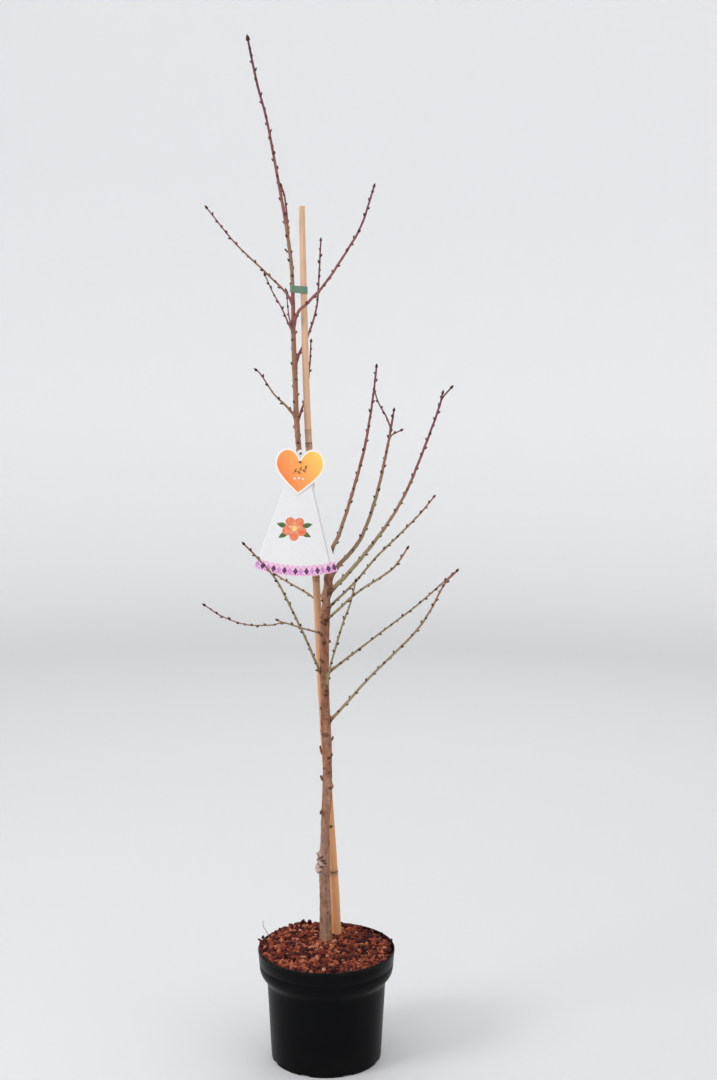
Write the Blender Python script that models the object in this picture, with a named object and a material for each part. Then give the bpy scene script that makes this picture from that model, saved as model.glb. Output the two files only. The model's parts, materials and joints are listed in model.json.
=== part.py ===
"""A young nectarine tree as a nursery sells it in winter: leafless, potted and staked.

The tree stands in bark mulch over potting soil in a black nursery pot. A bamboo cane
stands behind the trunk and a soft band holds the top shoot to it. A heart card and two
fan-shaped cards hang on the shoot by a wire.

Metres, +Z up. The origin is the middle of the pot's underside, and -Y is the front.
"""
import math
import random

import bmesh
import bpy
import numpy as np
from mathutils import Vector

MM = 0.001

# Pot: a thin moulded shell with a straight band under its rim.
POT_HEIGHT = 0.205
POT_RIM_RADIUS = 0.125
POT_BASE_RADIUS = 0.1005
POT_WALL = 0.0018
POT_FLOOR = 0.0022
POT_SIDES = 40
DRAIN_SLOTS = 8
DRAIN_SLOT_SIZE = (0.010, 0.018, 0.004)
DRAIN_SLOT_TURN = -21.5
FLOOR_HOLES = 4
FLOOR_HOLE_RADIUS = 0.005
FLOOR_HOLE_CIRCLE = 0.062

# Fill: soil up to the mulch, mulch up to the rim.
FILL_GAP = 0.0006
SOIL_TOP = 0.176
MULCH_BOTTOM = 0.1764
MULCH_LEVEL = 0.2005
MULCH_CHIPS = 100
STEM_HOLE_GAP = 0.0008

# Bamboo cane: bottom and top diameters and the heights of its joints.
CANE_DIAMETERS = (0.0166, 0.0106)
CANE_BOTTOM = 0.012
CANE_TOP = 1.540
CANE_JOINTS = (0.331, 0.600, 0.883, 1.125, 1.148)
CANE_SIDES = 10

# Tie band round the top shoot and the cane.
TIE_HEIGHT = 0.012
TIE_WALL = 0.0008
TIE_LEVEL = 1.397
TIE_SLOPE = -0.09
TIE_CLEAR = 0.0006

# Label cards. Distances run down the card from the point where its sides would meet.
CARD_WALL = 0.0008
CARD_PITCH = 0.0016
CARD_APEX = (-0.0445, 0.0090, 1.1332)
CARD_LEAN = math.radians(5.4)
CARD_TURN = math.radians(-3.75)
REAR_CARD_TURN = math.radians(2.9)
FAN_RADIUS = 0.242
FAN_HALF_ANGLE = math.radians(16.6)
FAN_EYE = 0.0250
FAN_EYE_RADIUS = 0.0068
HEART_EYE = 0.0402
EYELET_RADIUS = 0.0015
WIRE_RADIUS = 0.0007
WIRE_BEAD_RADIUS = 0.0021

# Tree. Each stem is (x, y, z, diameter) in millimetres, from its root to its tip.
STEM_SIDES = 10
TWIG_SIDES = 6
TRUNK = [(-1, 20, 100, 20), (-1, 20, 180, 22), (-1, 20, 212, 22), (-3, 20, 277, 19.5),
         (-4, 21, 347, 19), (-4, 21, 366, 20), (-3, 20, 395, 16.5), (-3, 20, 430, 15.5),
         (1, 17, 489, 16.5), (1, 15, 551, 16), (-1, 14, 598, 17.5), (-2, 13, 630, 18),
         (-3, 13, 663, 16), (-4, 12, 736, 16), (-4, 11, 800, 17), (-1, 10, 841, 16.5),
         (3, 9, 882, 16), (4, 9, 908, 15.5), (-2, 10, 940, 12.5), (-12, 12, 975, 11.2),
         (-34, 18, 1046, 10.3), (-48, 21, 1105, 9.8), (-54, 24, 1167, 9.2),
         (-56, 25, 1227, 9.0), (-59, 26, 1302, 8.6), (-60, 27, 1372, 7.4),
         (-62, 26, 1431, 6.7), (-69, 24, 1488, 6.2), (-75, 22, 1527, 5.6),
         (-88, 18, 1599, 4.8), (-104, 12, 1684, 4.3), (-119, 6, 1740, 4.1),
         (-130, 2, 1791, 3.9), (-135, 0, 1817, 3.4)]

LIMBS = {
    "low_right": [(-1, 14, 618, 9), (28, 2, 651, 6.5), (78, -18, 712, 5.5),
                  (153, -46, 794, 4.8), (183, -58, 840, 4.2), (205, -68, 885, 3.8),
                  (227, -74, 911, 3.4)],
    "front_rising": [(-2, 8, 675, 7), (1, -4, 696, 6.5), (10, -20, 728, 5.6),
                     (23, -44, 781, 4.8), (31, -62, 820, 4.2), (42, -78, 852, 3.9),
                     (52, -96, 896, 3.4)],
    "low_left": [(-4, 11, 694, 8), (-17, -4, 722, 6.2), (-35, -34, 781, 5.4),
                 (-62, -68, 847, 4.8), (-86, -94, 899, 4.4), (-119, -122, 943, 3.8),
                 (-137, -134, 964, 3.4)],
    "back_right": [(-1, 12, 711, 7), (26, 30, 728, 5), (97, 78, 774, 4.4),
                   (164, 118, 818, 3.9), (210, 142, 854, 3.6), (234, 152, 874, 3.2)],
    "left_level": [(-3, 12, 780, 6), (-16, -1, 789, 4.4), (-43, -15, 799, 4.0),
                   (-75, -34, 812, 3.9), (-96, -46, 810, 3.6), (-138, -66, 814, 3.2),
                   (-178, -84, 831, 3.0), (-208, -96, 853, 2.8)],
    "left_level_spur": [(-75, -34, 812, 3.4), (-81, -32, 814, 3.0), (-86, -30, 816, 2.8)],
    "right_short": [(-2, 8, 810, 6), (14, -6, 825, 4.8), (54, -34, 866, 4.2),
                    (102, -62, 902, 3.8), (122, -72, 921, 3.6), (141, -80, 951, 3.2)],
    "back_long": [(0, 11, 826, 7), (13, 26, 839, 5.0), (52, 64, 872, 4.6),
                  (88, 96, 911, 4.2), (132, 128, 950, 3.9), (172, 152, 988, 3.6),
                  (198, 166, 1018, 3.2)],
    "behind_cane": [(0, 12, 827, 6), (3, 34, 832, 5.0), (-5, 56, 836, 4.6),
                    (-24, 70, 840, 4.4), (-41, 84, 849, 4.2), (-75, 116, 863, 3.8),
                    (-102, 140, 876, 3.6), (-125, 158, 893, 3.2)],
    "right_long": [(1, 9, 859, 11), (13, -4, 870, 9), (52, -40, 917, 8),
                   (101, -85, 986, 6.6), (135, -112, 1047, 5.6), (161, -135, 1113, 5.0),
                   (187, -152, 1187, 4.2), (195, -158, 1219, 3.4)],
    "right_long_fork": [(189, -154, 1196, 3.6), (196, -150, 1212, 3.4), (210, -146, 1228, 3.2)],
    "right_back": [(3, 10, 884, 10), (23, 28, 908, 8), (54, 55, 941, 7.2),
                   (74, 75, 981, 6.6), (93, 95, 1041, 6.0), (108, 110, 1109, 5.2),
                   (115, 118, 1145, 4.6), (121, 124, 1181, 3.4)],
    "right_back_low_spur": [(113, 114, 1131, 3.6), (119, 106, 1138, 3.2), (134, 96, 1146, 2.8)],
    "right_back_high_spur": [(115, 118, 1149, 3.6), (107, 128, 1169, 3.2),
                             (92, 140, 1196, 3.0), (86, 146, 1215, 2.8)],
    "right_front": [(3, 9, 905, 10), (9, 2, 937, 8), (21, -12, 964, 7.4),
                    (43, -45, 1034, 6.4), (65, -75, 1117, 5.4), (75, -90, 1173, 4.6),
                    (82, -100, 1223, 4.0), (86, -105, 1262, 3.4)],
    "upper_left": [(-55, 24, 1172, 6), (-70, 12, 1190, 5.2), (-93, -4, 1214, 4.6),
                   (-114, -18, 1247, 4.2), (-122, -22, 1255, 3.6)],
    "upper_back": [(-54, 24, 1156, 5.5), (-47, 42, 1180, 4.8), (-37, 58, 1214, 4.2),
                   (-32, 72, 1264, 3.8), (-30, 84, 1306, 3.2)],
    "upper_back_long": [(-57, 25, 1258, 6), (-50, 46, 1283, 5.0), (-34, 62, 1318, 4.4),
                        (-20, 78, 1366, 4.0), (-16, 92, 1421, 3.6), (-13, 105, 1487, 3.2)],
    "upper_short_left": [(-59, 26, 1320, 5), (-68, 18, 1337, 4.0), (-79, 5, 1363, 3.6),
                         (-93, -10, 1388, 3.2), (-106, -25, 1418, 2.9)],
    "upper_thin": [(-60, 26, 1322, 3.4), (-68, 42, 1350, 2.6), (-71, 52, 1375, 2.4),
                   (-74, 60, 1395, 2.2)],
    "upper_right": [(-60, 27, 1336, 7), (-48, 12, 1359, 5.6), (-35, 0, 1370, 5.2),
                    (-3, -25, 1403, 4.6), (32, -45, 1453, 4.2), (60, -60, 1500, 3.8),
                    (81, -75, 1563, 3.2)],
    "top_left": [(-61, 26, 1372, 5.4), (-74, 19, 1392, 4.4), (-113, -5, 1430, 4.2),
                 (-158, -30, 1473, 3.6), (-203, -50, 1529, 3.0)],
    "top_twin": [(-68, 24, 1493, 4.2), (-70, 12, 1524, 3.6), (-73, 4, 1553, 3.4),
                 (-79, 0, 1572, 3.2)],
}

# Buds sit along every shoot, each turned on from the last by the golden angle.
BUD_SPACING = 0.026
BUD_LENGTH = 0.0058
BUD_WIDTH = 0.0027
BUD_TILT = math.radians(38)
GOLDEN_ANGLE = math.pi * (3 - math.sqrt(5))

# Knobs on the trunk: height in mm, turn in degrees (0 is the front, 90 the right side),
# diameter in mm and how far they stand out in mm.
TRUNK_KNOBS = [(851, -82, 8, 4.5), (811, -10, 8, 1.6), (771, 75, 4, 4), (766, -5, 7, 1.4),
               (736, -40, 7, 1.4), (717, -88, 6, 6), (672, 12, 9, 2), (648, -85, 4, 4),
               (600, 0, 9, 1.6), (592, 85, 4, 5), (574, -88, 4, 6), (558, 35, 5, 4),
               (538, -20, 5, 2.4), (521, -86, 5, 4), (505, 60, 8, 3), (456, -70, 5, 4),
               (266, 25, 4, 1.6)]
# The graft union: a callus on the left side where the tree was budded on its rootstock.
GRAFT_LUMPS = [(352, -75, 13, 5), (362, -85, 15, 8), (371, -60, 12, 5), (358, -35, 13, 4),
               (368, -10, 11, 3), (373, -100, 9, 4)]


def clear_scene():
    for obj in list(bpy.data.objects):
        bpy.data.objects.remove(obj, do_unlink=True)


def make_material(name, colour, roughness, metallic=0.0):
    material = bpy.data.materials.new(name)
    material.use_nodes = True
    shader = material.node_tree.nodes["Principled BSDF"]
    shader.inputs["Base Color"].default_value = (*colour, 1.0)
    shader.inputs["Roughness"].default_value = roughness
    shader.inputs["Metallic"].default_value = metallic
    return material


def make_object(name, vertices, faces, material=None):
    mesh = bpy.data.meshes.new(name)
    mesh.from_pydata([tuple(v) for v in vertices], [], faces)
    work = bmesh.new()
    work.from_mesh(mesh)
    bmesh.ops.recalc_face_normals(work, faces=work.faces)
    work.to_mesh(mesh)
    work.free()
    obj = bpy.data.objects.new(name, mesh)
    bpy.context.scene.collection.objects.link(obj)
    if material is not None:
        mesh.materials.append(material)
    return obj


def shade_round(obj, degrees=35):
    obj.data.shade_smooth()
    obj.data.set_sharp_from_angle(angle=math.radians(degrees))


def apply_modifiers(obj):
    graph = bpy.context.evaluated_depsgraph_get()
    mesh = bpy.data.meshes.new_from_object(obj.evaluated_get(graph))
    old = obj.data
    obj.modifiers.clear()
    obj.data = mesh
    bpy.data.meshes.remove(old)


def union_into(obj, pieces, solver="MANIFOLD"):
    """Join the pieces to obj as one closed body, and remove them."""
    group = bpy.data.collections.new(obj.name + "_pieces")
    bpy.context.scene.collection.children.link(group)
    for piece in pieces:
        bpy.context.scene.collection.objects.unlink(piece)
        group.objects.link(piece)
    join = obj.modifiers.new("join", "BOOLEAN")
    join.operation = "UNION"
    join.solver = solver
    join.operand_type = "COLLECTION"
    join.collection = group
    apply_modifiers(obj)
    for piece in pieces:
        bpy.data.objects.remove(piece, do_unlink=True)
    bpy.data.collections.remove(group)


def cut_from(obj, cutter):
    cut = obj.modifiers.new("cut", "BOOLEAN")
    cut.operation = "DIFFERENCE"
    cut.solver = "EXACT"
    cut.object = cutter
    apply_modifiers(obj)
    bpy.data.objects.remove(cutter, do_unlink=True)


def smooth_route(points, spacing):
    """Even samples of a Catmull-Rom curve through the points, in any number of values."""
    knots = np.array(points, float)
    ends = np.vstack([2 * knots[0] - knots[1], knots, 2 * knots[-1] - knots[-2]])
    dense = []
    for a, b, c, d in zip(ends[:-3], ends[1:-2], ends[2:-1], ends[3:]):
        for t in np.linspace(0, 1, 16, endpoint=False):
            dense.append(0.5 * (2 * b + (c - a) * t + (2 * a - 5 * b + 4 * c - d) * t ** 2
                                + (3 * b - a - 3 * c + d) * t ** 3))
    dense.append(knots[-1])
    dense = np.array(dense)
    steps = np.linalg.norm(np.diff(dense[:, :3], axis=0), axis=1)
    run = np.concatenate([[0], np.cumsum(steps)])
    count = max(2, round(run[-1] / spacing) + 1)
    wanted = np.linspace(0, run[-1], count)
    return np.column_stack([np.interp(wanted, run, column) for column in dense.T])


def frames_along(centres):
    """Tangent and two cross directions at each point, carried along without twist."""
    points = [Vector(c) for c in centres]
    last = len(points) - 1
    side = Vector((0, -1, 0))
    frames = []
    for i in range(last + 1):
        tangent = (points[min(i + 1, last)] - points[max(i - 1, 0)]).normalized()
        if abs(tangent.dot(side)) > 0.98:
            side = Vector((1, 0, 0))
        side = (side - tangent * side.dot(tangent)).normalized()
        frames.append((tangent, side.copy(), tangent.cross(side)))
    return points, frames


def tube(name, centres, radii, sides, material=None, round_tip=0.0):
    """A closed tube with flat ends, or with a pointed tip of the given length."""
    points, frames = frames_along(centres)
    vertices = []
    faces = []
    for point, (tangent, side, across), radius in zip(points, frames, radii):
        for k in range(sides):
            angle = 2 * math.pi * k / sides
            vertices.append(point + (side * math.cos(angle) + across * math.sin(angle)) * radius)
    for ring in range(len(points) - 1):
        for k in range(sides):
            a = ring * sides + k
            b = ring * sides + (k + 1) % sides
            faces.append((a, b, b + sides, a + sides))
    faces.append(tuple(range(sides)))
    top = (len(points) - 1) * sides
    if round_tip:
        vertices.append(points[-1] + frames[-1][0] * round_tip)
        faces += [(top + k, top + (k + 1) % sides, len(vertices) - 1) for k in range(sides)]
    else:
        faces.append(tuple(range(top, top + sides)))
    return make_object(name, vertices, faces, material)


def turned(name, profile, sides, material=None):
    """A solid turned about Z from (radius, height) pairs that start and end on the axis."""
    vertices = [(0, 0, profile[0][1])]
    for radius, height in profile[1:-1]:
        for k in range(sides):
            angle = 2 * math.pi * k / sides
            vertices.append((radius * math.cos(angle), radius * math.sin(angle), height))
    vertices.append((0, 0, profile[-1][1]))
    faces = []
    rings = len(profile) - 2
    end = len(vertices) - 1
    for k in range(sides):
        after = (k + 1) % sides
        faces.append((0, 1 + k, 1 + after))
        faces.append((end, end - sides + k, end - sides + after))
        for ring in range(rings - 1):
            a = 1 + ring * sides
            faces.append((a + k, a + after, a + sides + after, a + sides + k))
    return make_object(name, vertices, faces, material)


def pot_outside():
    """The pot's outer wall as (radius, height), from its foot to its rim."""
    return [(POT_BASE_RADIUS - 0.0015, 0.0), (POT_BASE_RADIUS, 0.0015), (0.1060, 0.100),
            (0.1080, 0.136), (0.1092, 0.145), (0.1165, 0.156), (0.1208, 0.163),
            (0.1222, 0.168), (POT_RIM_RADIUS, 0.2025)]


def pot_inside_radius(height):
    outside = pot_outside()
    radii = [radius for radius, level in outside]
    levels = [level for radius, level in outside]
    return float(np.interp(height, levels, radii)) - POT_WALL


def box_vertices(size, turn, distance, level):
    """Corners of a box out along a direction from the axis, standing at a level."""
    corners = []
    for sx in (-0.5, 0.5):
        for sy in (-0.5, 0.5):
            for sz in (0, 1):
                out = distance + sx * size[0]
                along = sy * size[1]
                corners.append((out * math.cos(turn) - along * math.sin(turn),
                                out * math.sin(turn) + along * math.cos(turn),
                                level + sz * size[2]))
    return corners


BOX_FACES = [(0, 1, 3, 2), (4, 6, 7, 5), (0, 4, 5, 1), (2, 3, 7, 6), (0, 2, 6, 4), (1, 5, 7, 3)]


def make_pot():
    black = make_material("pot_black_plastic", (0.012, 0.013, 0.014), 0.45)
    outside = pot_outside()
    inside = [(radius - POT_WALL, height) for radius, height in reversed(outside[2:])]
    profile = [(0, 0)] + outside + [(POT_RIM_RADIUS - 0.0006, POT_HEIGHT)]
    profile += [(POT_RIM_RADIUS - 0.0016, POT_HEIGHT)] + inside
    profile += [(POT_BASE_RADIUS - POT_WALL, POT_FLOOR), (0, POT_FLOOR)]
    pot = turned("pot", profile, POT_SIDES, black)
    cutters = []
    for k in range(DRAIN_SLOTS):
        turn = math.radians(270 + DRAIN_SLOT_TURN) + 2 * math.pi * k / DRAIN_SLOTS
        depth, width, height = DRAIN_SLOT_SIZE
        corners = box_vertices((depth, width, height + 0.002), turn, POT_BASE_RADIUS, -0.002)
        cutters.append(make_object("slot", corners, BOX_FACES))
    for k in range(FLOOR_HOLES):
        turn = 2 * math.pi * (k + 0.5) / FLOOR_HOLES
        centre = (FLOOR_HOLE_CIRCLE * math.cos(turn), FLOOR_HOLE_CIRCLE * math.sin(turn))
        ends = [(*centre, -0.002), (*centre, POT_FLOOR + 0.002)]
        cutters.append(tube("hole", ends, [FLOOR_HOLE_RADIUS] * 2, 12))
    for cutter in cutters:
        cut_from(pot, cutter)
    shade_round(pot)
    return pot


def stem_hole_cutters(cane_route):
    """Slightly fat copies of the trunk's foot and the cane, which cut their holes."""
    foot = smooth_route([(x * MM, y * MM, z * MM) for x, y, z, d in TRUNK[:4]], 0.05)
    foot_width = max(d for x, y, z, d in TRUNK[:3]) / 2 * MM + STEM_HOLE_GAP
    trunk_cut = tube("trunk_hole", foot, [foot_width] * len(foot), STEM_SIDES)
    cane_width = CANE_DIAMETERS[0] / 2 * 1.12 + STEM_HOLE_GAP
    low = cane_route[cane_route[:, 2] < 0.30][:, :3]
    low[0] = low[0] - (low[1] - low[0]) / np.linalg.norm(low[1] - low[0]) * 0.001
    cane_cut = tube("cane_hole", low, [cane_width] * len(low), CANE_SIDES)
    return trunk_cut, cane_cut


def make_soil(cane_route):
    brown = make_material("potting_soil", (0.045, 0.028, 0.018), 0.95)
    levels = [POT_FLOOR + FILL_GAP, 0.060, 0.100, 0.136, 0.145, 0.156, 0.163, 0.168, SOIL_TOP]
    rings = [(pot_inside_radius(level) - FILL_GAP, level) for level in levels]
    soil = turned("potting_soil", [(0, levels[0])] + rings + [(0, SOIL_TOP)], 36, brown)
    for cutter in stem_hole_cutters(cane_route):
        cut_from(soil, cutter)
    return soil


def mulch_height(x, y):
    """The top of the mulch bed: banked up behind on the left, settled on the right."""
    bank = -0.020 * x + 0.012 * y
    mound = 0.0035 * math.exp(-((x + 0.001) ** 2 + (y - 0.010) ** 2) / 0.045 ** 2)
    ripple = 0.0012 * math.sin(95 * x + 1.3) * math.cos(110 * y + 0.4)
    return MULCH_LEVEL + bank + mound + ripple


def bark_chip(centre, length, width, thickness, turn, tilt, roll, taper):
    """A six-sided splinter of bark: a slab with one end narrower than the other."""
    corners = []
    for sx, sy, sz in [(a, b, c) for a in (-1, 1) for b in (-1, 1) for c in (-1, 1)]:
        narrow = taper if sx > 0 else 1.0
        local = Vector((sx * length / 2, sy * width / 2 * narrow, sz * thickness / 2))
        local.x += 0.18 * length * sy * (0.5 if sx > 0 else -0.3)
        local.y, local.z = (local.y * math.cos(roll) - local.z * math.sin(roll),
                            local.y * math.sin(roll) + local.z * math.cos(roll))
        local.x, local.z = (local.x * math.cos(tilt) - local.z * math.sin(tilt),
                            local.x * math.sin(tilt) + local.z * math.cos(tilt))
        local.x, local.y = (local.x * math.cos(turn) - local.y * math.sin(turn),
                            local.x * math.sin(turn) + local.y * math.cos(turn))
        corners.append(Vector(centre) + local)
    return make_object("chip", corners, BOX_FACES)


def make_mulch(cane_route):
    red_brown = make_material("bark_mulch", (0.165, 0.050, 0.028), 0.9)
    draw = random.Random(11)
    edge = pot_inside_radius(0.190) - FILL_GAP
    rings = 6
    sides = 36
    vertices = [(0, 0, MULCH_BOTTOM)]
    faces = []
    bottom_edge = pot_inside_radius(MULCH_BOTTOM) - FILL_GAP
    for k in range(sides):
        angle = 2 * math.pi * k / sides
        vertices.append((bottom_edge * math.cos(angle), bottom_edge * math.sin(angle),
                         MULCH_BOTTOM))
    for ring in range(rings, 0, -1):
        for k in range(sides):
            angle = 2 * math.pi * k / sides
            x = edge * ring / rings * math.cos(angle)
            y = edge * ring / rings * math.sin(angle)
            vertices.append((x, y, mulch_height(x, y)))
    vertices.append((0, 0, mulch_height(0, 0)))
    top = len(vertices) - 1
    for k in range(sides):
        after = (k + 1) % sides
        faces.append((0, 1 + k, 1 + after))
        faces.append((top, top - sides + k, top - sides + after))
        for ring in range(rings):
            a = 1 + ring * sides
            faces.append((a + k, a + after, a + sides + after, a + sides + k))
    mulch = make_object("bark_mulch", vertices, faces, red_brown)
    chips = []
    for k in range(MULCH_CHIPS):
        length = draw.uniform(0.013, 0.024)
        distance = (edge - 0.45 * length - 0.0015) * math.sqrt((k + 0.5) / MULCH_CHIPS)
        around = k * GOLDEN_ANGLE
        x = distance * math.cos(around)
        y = distance * math.sin(around)
        # Chips by the wall lie along it, and those further in lie any way.
        by_wall = distance > edge - 0.014
        turn = around + math.pi / 2 if by_wall else draw.uniform(0, math.pi)
        chips.append(bark_chip((x, y, mulch_height(x, y) + draw.uniform(-0.0005, 0.0015)),
                               length * (0.8 if by_wall else 1.0), draw.uniform(0.009, 0.015),
                               draw.uniform(0.0032, 0.0050), turn, draw.uniform(-0.35, 0.35),
                               0.0 if by_wall else draw.uniform(-0.3, 0.3),
                               draw.uniform(0.45, 0.9)))
    union_into(mulch, chips)
    for cutter in stem_hole_cutters(cane_route):
        cut_from(mulch, cutter)
    return mulch


def cane_centres():
    """The cane's line: it leans a little left and forward as it rises."""
    knots = [(18, 52, 205), (12, 50, 337), (-3, 46, 562), (-12, 44, 712), (-20, 41, 885),
             (-34, 37, 1148), (-39, 34, 1299), (-44, 32, 1516), (-44.5, 32, 1540)]
    low, next_up = np.array(knots[0], float), np.array(knots[1], float)
    drop = (CANE_BOTTOM / MM - low[2]) / (next_up[2] - low[2])
    knots.insert(0, tuple(low + drop * (next_up - low)))
    return smooth_route([tuple(MM * value for value in knot) for knot in knots], 0.004)


def cane_radius_at(level):
    share = (level - CANE_BOTTOM) / (CANE_TOP - CANE_BOTTOM)
    return (CANE_DIAMETERS[0] + share * (CANE_DIAMETERS[1] - CANE_DIAMETERS[0])) / 2


def make_cane(route):
    straw = make_material("bamboo", (0.52, 0.29, 0.13), 0.5)
    levels = set(np.round(np.arange(CANE_BOTTOM, CANE_TOP, 0.11), 4)) | {CANE_TOP}
    for joint in CANE_JOINTS:
        levels = {z for z in levels if abs(z - joint) > 0.012}
        levels |= {joint - 0.006, joint - 0.0015, joint + 0.0015, joint + 0.006}
    centres = []
    radii = []
    for level in sorted(levels):
        centres.append([float(np.interp(level, route[:, 2], route[:, i])) for i in range(3)])
        near = min(abs(level - joint) for joint in CANE_JOINTS)
        radii.append(cane_radius_at(level) * (1.10 if near < 0.002 else 1.0))
    cane = tube("cane", centres, radii, CANE_SIDES, straw)
    shade_round(cane, 50)
    return cane


def pointed_knob(base, outward, axis, width, length, sunk):
    """A four-sided bud or spur: a waist with a point at each end, its inner end sunk."""
    across = axis.cross(outward).normalized()
    up = outward.cross(across).normalized()
    waist = base + outward * (0.30 * length)
    vertices = [base - outward * sunk, base + outward * length]
    for k in range(4):
        angle = math.pi / 4 + math.pi / 2 * k
        vertices.append(waist + (across * math.cos(angle) + up * math.sin(angle)) * width / 2)
    faces = [(0, 2 + (k + 1) % 4, 2 + k) for k in range(4)]
    faces += [(1, 2 + k, 2 + (k + 1) % 4) for k in range(4)]
    return make_object("bud", vertices, faces)


def buds_along(route, start, first_turn):
    """Buds on a shoot, from a distance along it to its tip, with none under the tie."""
    points, frames = frames_along(route[:, :3])
    steps = [(b - a).length for a, b in zip(points[:-1], points[1:])]
    run = [0.0] + list(np.cumsum(steps))
    buds = []
    place = start
    turn = first_turn
    while place < run[-1] - 0.007:
        i = int(np.searchsorted(run, place)) - 1
        share = (place - run[i]) / (run[i + 1] - run[i])
        point = points[i].lerp(points[i + 1], share)
        radius = (route[i, 3] * (1 - share) + route[i + 1, 3] * share) / 2
        tangent, side, across = frames[i]
        out = side * math.cos(turn) + across * math.sin(turn)
        direction = (out * math.sin(BUD_TILT) + tangent * math.cos(BUD_TILT)).normalized()
        if abs(point.z - TIE_LEVEL) > TIE_HEIGHT:
            buds.append(pointed_knob(point + out * radius * 0.7, direction, tangent,
                                     BUD_WIDTH, BUD_LENGTH, 0.0012))
        place += BUD_SPACING
        turn += GOLDEN_ANGLE
    return buds


def shoot(name, stem, sides, spacing):
    """A tapering shoot that ends in a pointed tip bud."""
    route = smooth_route([tuple(MM * value for value in knot) for knot in stem], spacing)
    radii = list(route[:, 3] / 2)
    radii[-1] *= 1.25
    return tube(name, route[:, :3], radii, sides, None, 0.006), route


def trunk_knobs(route):
    points, frames = frames_along(route[:, :3])
    knobs = []
    for height, turn_degrees, width, length in TRUNK_KNOBS + GRAFT_LUMPS:
        i = int(np.argmin(abs(route[:, 2] - height * MM)))
        turn = math.radians(turn_degrees)
        out = Vector((math.sin(turn), -math.cos(turn), 0.25)).normalized()
        base = points[i] + out * (route[i, 3] / 2 - 0.0012)
        knobs.append(pointed_knob(base, out, frames[i][0], width * MM,
                                  length * MM + 0.0012, 0.003))
    return knobs


def make_tree():
    bark = make_material("nectarine_bark", (0.17, 0.085, 0.05), 0.75)
    tree, trunk_route = shoot("tree", TRUNK, STEM_SIDES, 0.024)
    tree.data.materials.append(bark)
    pieces = trunk_knobs(trunk_route)
    run = np.concatenate([[0], np.cumsum(np.linalg.norm(np.diff(trunk_route[:, :3], axis=0),
                                                        axis=1))])
    first_shoot_bud = float(np.interp(1.12, trunk_route[:, 2], run))
    pieces += buds_along(trunk_route, first_shoot_bud, 0.4)
    for number, (name, stem) in enumerate(LIMBS.items()):
        limb, route = shoot(name, stem, TWIG_SIDES, 0.026)
        pieces.append(limb)
        pieces += buds_along(route, 0.024, 1.1 * number)
    union_into(tree, pieces)
    shade_round(tree, 45)
    return tree, trunk_route


def belt_outline(first, first_radius, second, second_radius, arc_points):
    """The line of a belt pulled tight round two circles, anticlockwise from above."""
    gap = Vector(second) - Vector(first)
    heading = math.atan2(gap.y, gap.x)
    open_angle = math.acos((first_radius - second_radius) / gap.length)
    outline = []
    for k in range(arc_points):
        angle = heading + open_angle + (2 * math.pi - 2 * open_angle) * k / (arc_points - 1)
        outline.append(Vector(first) + Vector((math.cos(angle), math.sin(angle))) * first_radius)
    for k in range(arc_points):
        angle = heading - open_angle + 2 * open_angle * k / (arc_points - 1)
        outline.append(Vector(second) + Vector((math.cos(angle), math.sin(angle))) * second_radius)
    return outline


def make_tie_band(trunk_route, cane_route):
    green = make_material("tie_green", (0.07, 0.19, 0.14), 0.6)
    shoot_at = [float(np.interp(TIE_LEVEL, trunk_route[:, 2], trunk_route[:, i])) for i in (0, 1)]
    shoot_radius = float(np.interp(TIE_LEVEL, trunk_route[:, 2], trunk_route[:, 3])) / 2
    cane_at = [float(np.interp(TIE_LEVEL, cane_route[:, 2], cane_route[:, i])) for i in (0, 1)]
    inner = belt_outline(shoot_at, shoot_radius + TIE_CLEAR, cane_at,
                         cane_radius_at(TIE_LEVEL) + TIE_CLEAR, 12)
    reach = TIE_CLEAR + TIE_WALL
    outer = belt_outline(shoot_at, shoot_radius + reach, cane_at,
                         cane_radius_at(TIE_LEVEL) + reach, 12)
    count = len(inner)
    vertices = []
    for outline in (inner, outer):
        for end in (-0.5, 0.5):
            for point in outline:
                height = TIE_LEVEL + end * TIE_HEIGHT + TIE_SLOPE * (point.x - shoot_at[0])
                vertices.append((point.x, point.y, height))
    faces = []
    for k in range(count):
        after = (k + 1) % count
        inner_low, inner_high, outer_low, outer_high = (k, k + count, k + 2 * count,
                                                        k + 3 * count)
        step = after - k
        faces.append((inner_low, inner_low + step, inner_high + step, inner_high))
        faces.append((outer_low, outer_high, outer_high + step, outer_low + step))
        faces.append((inner_high, inner_high + step, outer_high + step, outer_high))
        faces.append((inner_low, outer_low, outer_low + step, inner_low + step))
    band = make_object("tie_band", vertices, faces, green)
    shade_round(band)
    return band


def card_point(across, down, forward, turn):
    """A point on a label card: across it, down it and forward of its middle plane.

    A turn swings the card about its upper eyelet.
    """
    below_eye = down - FAN_EYE
    turned_across = across * math.cos(turn) + below_eye * math.sin(turn)
    turned_down = FAN_EYE + below_eye * math.cos(turn) - across * math.sin(turn)
    x = turned_across * math.cos(CARD_TURN) + turned_down * math.sin(CARD_TURN)
    drop = turned_down * math.cos(CARD_TURN) - turned_across * math.sin(CARD_TURN)
    y = -drop * math.sin(CARD_LEAN) - forward * math.cos(CARD_LEAN)
    z = -drop * math.cos(CARD_LEAN) + forward * math.sin(CARD_LEAN)
    return Vector(CARD_APEX) + Vector((x, y, z))


def fan_outline():
    """A fan-shaped leaf: a wide arc below, straight sides, and a round eye at the top."""
    outline = []
    for k in range(17):
        angle = FAN_HALF_ANGLE * (1 - k / 8)
        outline.append((FAN_RADIUS * math.sin(angle), FAN_RADIUS * math.cos(angle)))
    for k in range(9):
        angle = math.pi + math.pi * k / 8
        outline.append((FAN_EYE_RADIUS * math.cos(angle),
                        FAN_EYE + FAN_EYE_RADIUS * math.sin(angle)))
    return outline


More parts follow.
